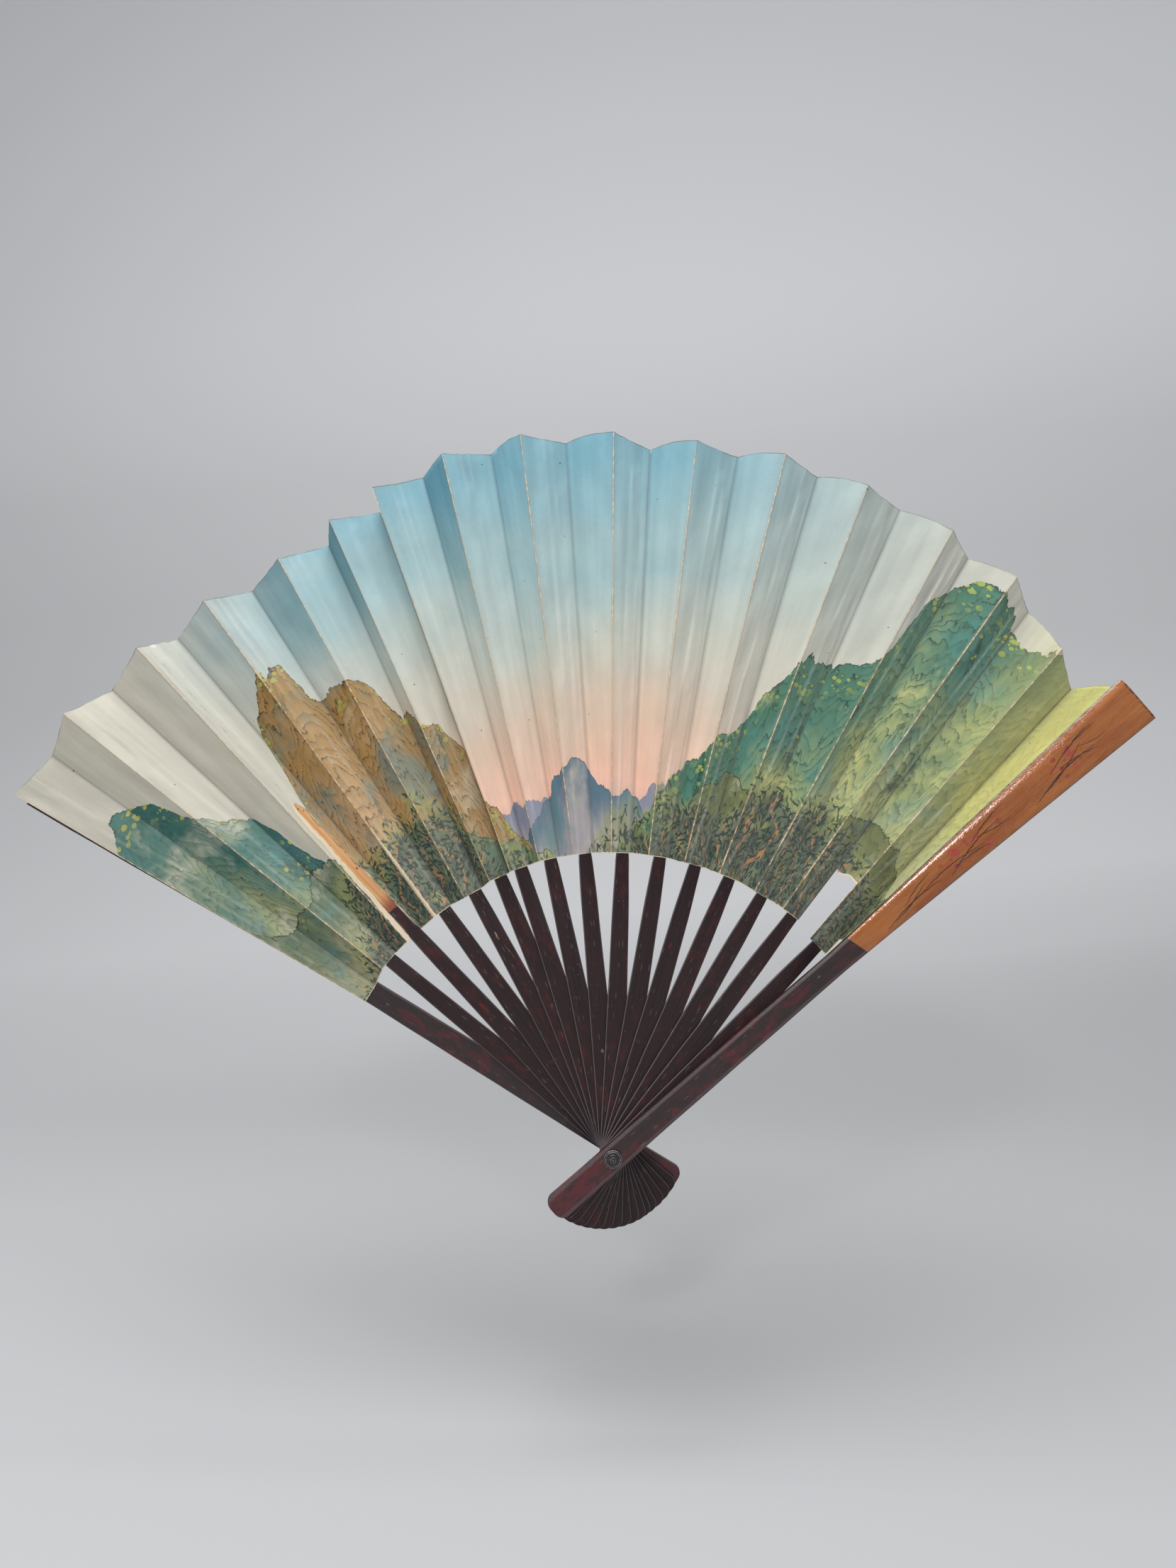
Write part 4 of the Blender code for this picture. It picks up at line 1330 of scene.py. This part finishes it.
    def build(self) -> bpy.types.Object:
        """The leaf's object: facets side by side, as a front and a back layer closed at the rim."""
        facets = []
        for index in range(len(self.fan.angles)):
            if index:
                facets.append(self.facet(index, False))
            facets.append(self.facet(index, True))
        keys = facets[0].keys()
        field = {key: np.concatenate([facet[key] for facet in facets], axis=1) for key in keys}
        return self.assemble(field)

    def facet(self, index: int, is_panel: bool) -> dict[str, Array]:
        """One facet's points and values, on a grid of rows and columns.

        A point at share s and height t lies on the straight line between the facet's two creases,
        both taken at the same length u = root + t (end - root), where root and end run across the
        facet from one crease to the next, with a bulge and a ragged rim.

        Args:
            index: The facet's stick, or the stick on the right of a fold.
            is_panel: Whether it is a panel or a fold.

        Returns:
            The grids: point, depth of the front layer, and the values the materials read.
        """
        left_stick, left_side = (index, 1) if is_panel else (index - 1, -1)
        right_stick, right_side = (index, -1) if is_panel else (index, 1)
        ends = [self.end(left_stick, left_side), self.end(right_stick, right_side)]
        roots = [self.roots[left_stick] * MM, self.roots[right_stick] * MM]
        height = np.linspace(0.0, 1.0, self.rows)[:, None]
        rough_u = roots[0] + height[:, 0] * (ends[0] - roots[0])
        share = self.shares(index, is_panel, rough_u)
        if index == self.fan.front and is_panel:
            share = np.concatenate([share, np.ones((self.rows, 1))], axis=1)
        root, end, bare = self.rims(index, is_panel, roots, ends, share, height)
        u = root + height * (end - root)
        left = self.crease(left_stick, left_side, u)
        right = self.crease(right_stick, right_side, u)
        width = np.linalg.norm(right - left, axis=-1) / MM
        from_left, from_right = share * width, (1.0 - share) * width
        middle, front, half, slip = self.layers(index, is_panel, share, u, width)
        if index == self.torn_panel and is_panel:
            front, bare = self.open_tear(front, bare, share, u)
        weights = [self.fan.share(left_stick), self.fan.share(right_stick)]
        return {
            "point": left + (right - left) * share[..., None],
            "middle": middle, "front": front, "back": half,
            "ridge": (from_left if is_panel else from_right) - self.fraying(index, u),
            "gully": from_right if is_panel else from_left, "slip": slip,
            "rim": np.broadcast_to((end - u) / MM, u.shape),
            "root": np.broadcast_to((u - root) / MM, u.shape),
            "torn": bare, "folded": np.full_like(u, 0.0 if is_panel else 1.0),
            "weight": weights[0] + (weights[1] - weights[0]) * share,
            "across": self.flat_turn(2 * index + is_panel, share) * self.flat_radius,
            "up": u - self.fan.leaf_inner,
        }

    def rims(self, index: int, is_panel: bool, roots: list[float], ends: list[float], share: Array,
             height: Array) -> tuple[Array, Array, Array]:
        """A facet's inner and outer rim, with the notch in one of them.

        Args:
            index: The facet's stick.
            is_panel: Whether it is a panel or a fold.
            roots: Lengths at which its two creases start.
            ends: Lengths at which they end.
            share: The columns' shares across the facet, one row a row.
            height: The rows' shares along it.

        Returns:
            The length at each column's root and end, and where the notch bares the paper.
        """
        number = 2 * index + is_panel
        bulge = -0.3 if is_panel else self.fold_bulges[index]
        rim = bulge * np.sin(math.pi * share[-1:]) * MM
        rim = rim + 0.1 * MM * ripple(share[-1:] * 4.0, np.zeros(1), 200 + number)
        rim[:, 0] = 0.0
        end = ends[0] + (ends[1] - ends[0]) * share[-1:] + rim
        root = roots[0] + (roots[1] - roots[0]) * share[:1]
        root = root + 0.06 * MM * ripple(share[:1] * 5.0, np.zeros(1), 300 + number)
        bare = np.zeros_like(share)
        if index == self.notch_fold and not is_panel:
            uneven = 1.2 * MM * ripple(share[:1] * 1.3, np.zeros(1), 5)
            cut = np.broadcast_to(self.notch_to + uneven, root.shape).copy()
            cut[:, 0] = root[:, 0]
            root = cut
            bare = bare + eased((root + 0.9 * MM - (root + height * (end - root))) / (0.5 * MM))
        return root, end, bare

    def layers(self, index: int, is_panel: bool, share: Array, u: Array,
               width: Array) -> tuple[Array, Array, Array, Array]:
        """How far back a facet's layers lie from the flat between its creases.

        Args:
            index: The facet's stick.
            is_panel: Whether it is a panel or a fold.
            share: The points' shares across the facet.
            u: Their lengths along the stick.
            width: The facet's width there, in millimetres.

        Returns:
            The depth of the middle between the layers, the front layer's and the back layer's from
            that middle, and how far each point is from the slip's edges, in millimetres.
        """
        has_slip = 0 < index < self.fan.front
        centre = self.across(index, share, u) if is_panel else np.full_like(u, 99.0)
        slip_edge = np.interp(u, (128.0 * MM, self.fan.slip_tip), (2.5, 1.5))
        on_slip = eased((slip_edge + 0.5 - np.abs(centre)) / 0.9)
        on_slip = on_slip * eased((self.slip_end(index) + 3.2 * MM - u) / (2.0 * MM))
        wave = ripple(share * width / 11.0, u / (26.0 * MM), 400 + 2 * index + is_panel, 6)
        calm = np.minimum(share * width, (1.0 - share) * width) / 3.0
        wave_height = 0.34 if is_panel else 0.2
        middle = wave_height * MM * wave * np.clip(calm, 0.0, 1.0) * (1.0 - 0.9 * on_slip)
        if not is_panel:
            middle = middle - 0.1 * self.fan.pitch * np.sin(2.0 * math.pi * share)
        near_slip = eased((slip_edge + 1.3 - np.abs(centre)) / 1.3) * has_slip
        half = (self.paper + (self.pocket - self.paper) * near_slip) / 2.0
        front = -half - 0.1 * MM * on_slip * has_slip
        return middle, front, half, np.abs(np.abs(centre) - slip_edge - 0.1)

    def end(self, index: int, side: int) -> float:
        """The length of a crease."""
        return (self.peak_ends if side > 0 else self.valley_ends)[index] * MM

    def fraying(self, index: int, u: Array) -> Array | float:
        """How much wider the worn line of the most frayed crease is, in millimetres."""
        if index != self.frayed:
            return 0.0
        return 0.75 * eased((self.frayed_to - u) / (45.0 * MM))

    def slip_end(self, index: int) -> float:
        """Where a rib's slip ends, inside the leaf."""
        return min(self.fan.slip_tip, min(self.end(index, 1), self.end(index, -1)) - 4.0 * MM)

    def across(self, index: int, share: Array, u: Array) -> Array:
        """How far left of its stick's middle a panel's point is, in millimetres."""
        left = self.reach(index, 1, u)
        return (left - share * (left + self.reach(index, -1, u))) / MM

    def flat_turn(self, number: int, share: Array) -> Array:
        """A point's angle on the flat leaf, left of its middle, in radians."""
        facets = 2 * len(self.fan.angles) - 1
        each = self.flat_angle / facets
        return each * (facets / 2.0 - (number - 1 + share))

    def open_tear(self, front: Array, bare: Array, share: Array, u: Array) -> tuple[Array, Array]:
        """Sinks the front layer between the tear's edges, and marks the paper that it bares."""
        strip, left, _, _, right = self.tear(u[:, 0])
        inside = (share > left[:, None] + self.on_line) & (share < right[:, None] - self.on_line)
        inside &= u < self.torn_to
        near = (share >= strip[:, None] - self.on_line) & (share <= left[:, None] + self.on_line)
        lip = np.abs(share - right[:, None]) < self.on_line
        front = np.where(inside, 0.08 * MM, front)
        front = np.where(near & (u < self.torn_to), front - 0.12 * MM, front)
        front = np.where(lip & (u < self.torn_to), front - 0.55 * MM, front)
        return front, np.where((near | lip | inside) & (u < self.torn_to + 1.0 * MM), 1.0, bare)

    def assemble(self, field: dict[str, Array]) -> bpy.types.Object:
        """The closed sheet from the joined grids."""
        rows, columns = field["weight"].shape
        front = field["point"].copy()
        front[..., 1] += field["middle"] + field["front"]
        back = field["point"].copy()
        back[..., 1] += field["middle"] + field["back"]
        count = rows * columns
        points = np.concatenate([front.reshape(-1, 3), back.reshape(-1, 3)])
        sheet = grid_faces(rows, columns, False)
        ring = np.concatenate([
            np.arange(columns), np.arange(1, rows) * columns + columns - 1,
            (rows - 1) * columns + np.arange(columns - 2, -1, -1),
            np.arange(rows - 2, 0, -1) * columns,
        ])
        following = np.roll(ring, -1)
        wall = np.stack([ring, ring + count, following + count, following], axis=1)
        faces = [sheet, sheet[:, ::-1] + count, wall]
        kinds = np.concatenate([np.zeros(len(sheet)), np.ones(len(sheet)), np.full(len(wall), 2)])
        uv = np.stack([field["across"], field["up"]], axis=-1).reshape(-1, 2)
        names = ("ridge", "gully", "slip", "rim", "root", "torn", "folded")
        values = {name: np.tile(field[name].ravel(), 2) for name in names}
        obj = build_mesh("leaf", points, faces, [self.front, self.back, self.torn], kinds,
                         ("leaf", np.tile(uv, (2, 1))), values)
        point_outwards(obj)
        obj.data.set_sharp_from_angle(angle=math.radians(75.0))
        nodes = [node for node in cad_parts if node.startswith("leaf_")]
        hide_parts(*nodes)
        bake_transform(obj)
        return obj


@dataclass
class Rivet:
    """The rivet: a pin with a button at each end, over two washers with raised rings."""

    material: bpy.types.Material
    steps: int = 96
    front_face: float = -30.75
    rear_face: float = -2.0

    def turned(self, name: str, profile: tuple[tuple[float, float, float], ...]) -> bpy.types.Object:
        """A round body about the Y axis.

        Args:
            name: The node that it stands for.
            profile: Points round its half section, each a radius and a depth in millimetres and
                how rubbed it is.

        Returns:
            The object: the profile, resampled and turned through every step.
        """
        shape = np.array(profile)
        gaps = np.linalg.norm(np.diff(shape[:, :2], axis=0), axis=1)
        along = np.concatenate([[0.0], np.cumsum(gaps)])
        places = np.unique(np.concatenate([along, np.linspace(0.0, along[-1], 60)]))
        radius, depth, rubbed = (np.interp(places, along, shape[:, k]) for k in range(3))
        turn = np.linspace(0.0, 2.0 * math.pi, self.steps, endpoint=False)[:, None]
        x = radius * MM * np.cos(turn)
        z = radius * MM * np.sin(turn)
        points = np.stack(np.broadcast_arrays(x, depth * MM, z), axis=-1).reshape(-1, 3)
        columns = len(places)
        following = (np.arange(self.steps) + 1) % self.steps
        i, j = np.meshgrid(np.arange(self.steps), np.arange(columns), indexing="ij")
        k = (j + 1) % columns
        n = following[i]
        faces = np.stack([i * columns + j, i * columns + k, n * columns + k, n * columns + j], -1)
        obj = build_mesh(name + "_finished", points, [faces.reshape(-1, 4)], [self.material], None,
                         ("stick", points[:, [0, 2]]), {"edge": np.tile(rubbed, self.steps)})
        point_outwards(obj, merged=True)
        obj.data.set_sharp_from_angle(angle=math.radians(50.0))
        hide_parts(name)
        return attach(obj, "rear_stick")

    def build(self) -> list[bpy.types.Object]:
        """The pin and both washers."""
        rings = ((1.7, 0.0, 0.2), (1.7, -0.85, 0.2), (1.95, -1.0, 0.9), (2.25, -0.72, 0.0),
                 (2.55, -0.7, 0.0), (2.85, -0.95, 0.9), (3.05, -0.98, 0.9), (3.3, -0.72, 0.0),
                 (3.45, -0.7, 0.1), (3.65, -0.84, 0.9), (3.8, -0.72, 0.8), (3.85, -0.5, 0.3),
                 (3.85, 0.0, 0.1))
        washer = tuple((r, self.front_face + y, w) for r, y, w in rings)
        rear = tuple((r, self.rear_face - y, w) for r, y, w in rings)
        pin = ((0.0, 0.0, 0.6), (2.3, 0.0, 0.4), (2.3, -0.7, 0.2), (1.5, -0.7, 0.0),
               (1.5, -32.05, 0.0), (2.2, -32.05, 0.1), (2.3, -32.2, 0.7), (2.2, -32.5, 0.7),
               (1.9, -32.62, 0.5), (1.65, -32.5, 0.0), (1.4, -32.5, 0.0), (1.15, -32.68, 0.8),
               (0.9, -32.7, 0.6), (0.7, -32.58, 0.0), (0.45, -32.62, 0.2), (0.25, -32.74, 0.8),
               (0.0, -32.75, 0.9))
        return [self.turned("rivet_washer_front", washer), self.turned("rivet_washer_rear", rear),
                self.turned("rivet_pin", pin)]


@dataclass
class Studio:
    """The camera, the floor, the backdrop and soft lights."""

    roll: float = math.radians(4.84)
    sensor: float = 36.0
    lens: float = 36.0 * 1817.0 / 2212.0
    eye: tuple[float, float, float] = (-0.0012, -0.5582, 0.1616)
    forward: tuple[float, float, float] = (0.00752, 0.9999, -0.01327)
    upward: tuple[float, float, float] = (0.08445, 0.0126, 0.99655)
    floor_z: float = -0.13
    bend_start: float = 0.5
    bend_radius: float = 0.9

    def build(self) -> None:
        """Adds everything."""
        self.camera()
        self.sweep()
        self.area("top", (-0.05, -0.35, 1.2), (0.0, 0.0, 0.15), 0.9, 16.0)
        self.area("front", (-0.22, -1.63, 0.96), (0.0, 0.0, 0.12), 0.19, 7.0)
        world = bpy.data.worlds.new("soft_light")
        bpy.context.scene.world = world
        world.use_nodes = True
        background = world.node_tree.nodes["Background"]
        Graph(world.node_tree).fill(background, {"Color": (0.975, 0.985, 1.0), "Strength": 0.43})
        bpy.context.scene.view_settings.view_transform = "Standard"

    def camera(self) -> None:
        """The camera, where the photograph's perspective puts it."""
        data = bpy.data.cameras.new("camera")
        data.sensor_width = self.sensor
        data.lens = self.lens
        data.clip_start, data.clip_end = 0.01, 50.0
        obj = bpy.data.objects.new("camera", data)
        forward = Vector(self.forward).normalized()
        up = Vector(self.upward).normalized()
        right = forward.cross(up).normalized()
        up = right.cross(forward)
        turn = Matrix((right, up, -forward)).transposed()
        obj.matrix_world = Matrix.Translation(self.eye) @ turn.to_4x4()
        bpy.context.scene.collection.objects.link(obj)
        bpy.context.scene.camera = obj

    def sweep(self) -> None:
        """The floor, which curves up into the backdrop, level in the picture, with painted light: its
        grey changes with height and lightens to the right.
        """
        bend = np.linspace(0.0, math.pi / 2.0, 24)
        start, radius = self.bend_start, self.bend_radius
        y = np.concatenate([[-3.0, -1.0], start + radius * np.sin(bend), [start + radius] * 2])
        z = np.concatenate([[0.0, 0.0], radius * (1.0 - np.cos(bend)), [2.5, 4.5]])
        x = np.linspace(-4.0, 4.0, 9)
        points = np.stack(np.broadcast_arrays(x[None, :], y[:, None], z[:, None]), axis=-1)
        points = points.reshape(-1, 3) + (0.0, 0.0, self.floor_z)
        turn = np.array(Matrix.Rotation(self.roll, 3, "Y"))
        material, g, shader = new_material("studio_sweep")
        place = g.node("ShaderNodeTexCoord").outputs["Object"]
        x_place, _, z_place = g.parts(place)
        # Painted light: the sweep's grey rises and falls with height and grows lighter to the right, as
        # the lamps would leave it.
        painted_light_tones = ((0.0, 0.475), (0.012, 0.56), (0.05, 0.64), (0.2, 0.62), (0.4, 0.585), (0.6, 0.6),
                 (0.82, 0.66), (1.0, 0.78))
        painted_light_grey = g.ramp(g.span(z_place, -0.15, 0.9),
                      tuple((level, (tone, tone * 1.008, tone * 1.03)) for level, tone in painted_light_tones))
        g.fill(shader, {
            "Base Color": g.shade(painted_light_grey, g.math("MULTIPLY_ADD", x_place, 0.1, 1.0)),
            "Roughness": 0.8, "Specular IOR Level": 0.1})
        obj = build_mesh("studio_sweep", points @ turn.T, [grid_faces(len(y), len(x), False)],
                         [material], None, ("stick", points[:, :2]), {})

    @staticmethod
    def area(name: str, place: Colour, target: Colour, size: float, power: float) -> None:
        """A square light at place that looks at target."""
        data = bpy.data.lights.new(name, "AREA")
        data.size = size
        data.energy = power
        obj = bpy.data.objects.new(name, data)
        obj.location = place
        aim = Vector(target) - Vector(place)
        obj.rotation_euler = aim.to_track_quat("-Z", "Y").to_euler()
        bpy.context.scene.collection.objects.link(obj)


def main() -> None:
    """Builds the fan in order."""
    logging.basicConfig(level=logging.INFO, format="%(message)s")
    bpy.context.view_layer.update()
    Studio().build()
    effects = Effects()
    lacquer = Lacquer(effects).material()
    varnish = Varnish(effects).material()
    leaf = Leaf(PaintedPaper(effects).material(), PlainPaper(effects, "leaf_back").material(),
                PlainPaper(effects, "torn_paper", (0.72, 0.63, 0.48), (0.60, 0.50, 0.35)).material())
    for index in range(len(FAN.angles)):
        end = {0: FAN.rear_guard_end, FAN.front: FAN.front_guard_end}.get(index, leaf.slip_end(index))
        stick = Stick(index, varnish if index in (0, FAN.front) else lacquer, end)
        stick.build()
        log.info("made %s", stick.name)
    for piece in Rivet(DarkMetal(effects).material()).build():
        log.info("made %s", piece.name)
    log.info("made %s with %d faces", leaf.build().name, len(bpy.data.objects["leaf"].data.polygons))


if __name__ == "__main__":
    main()
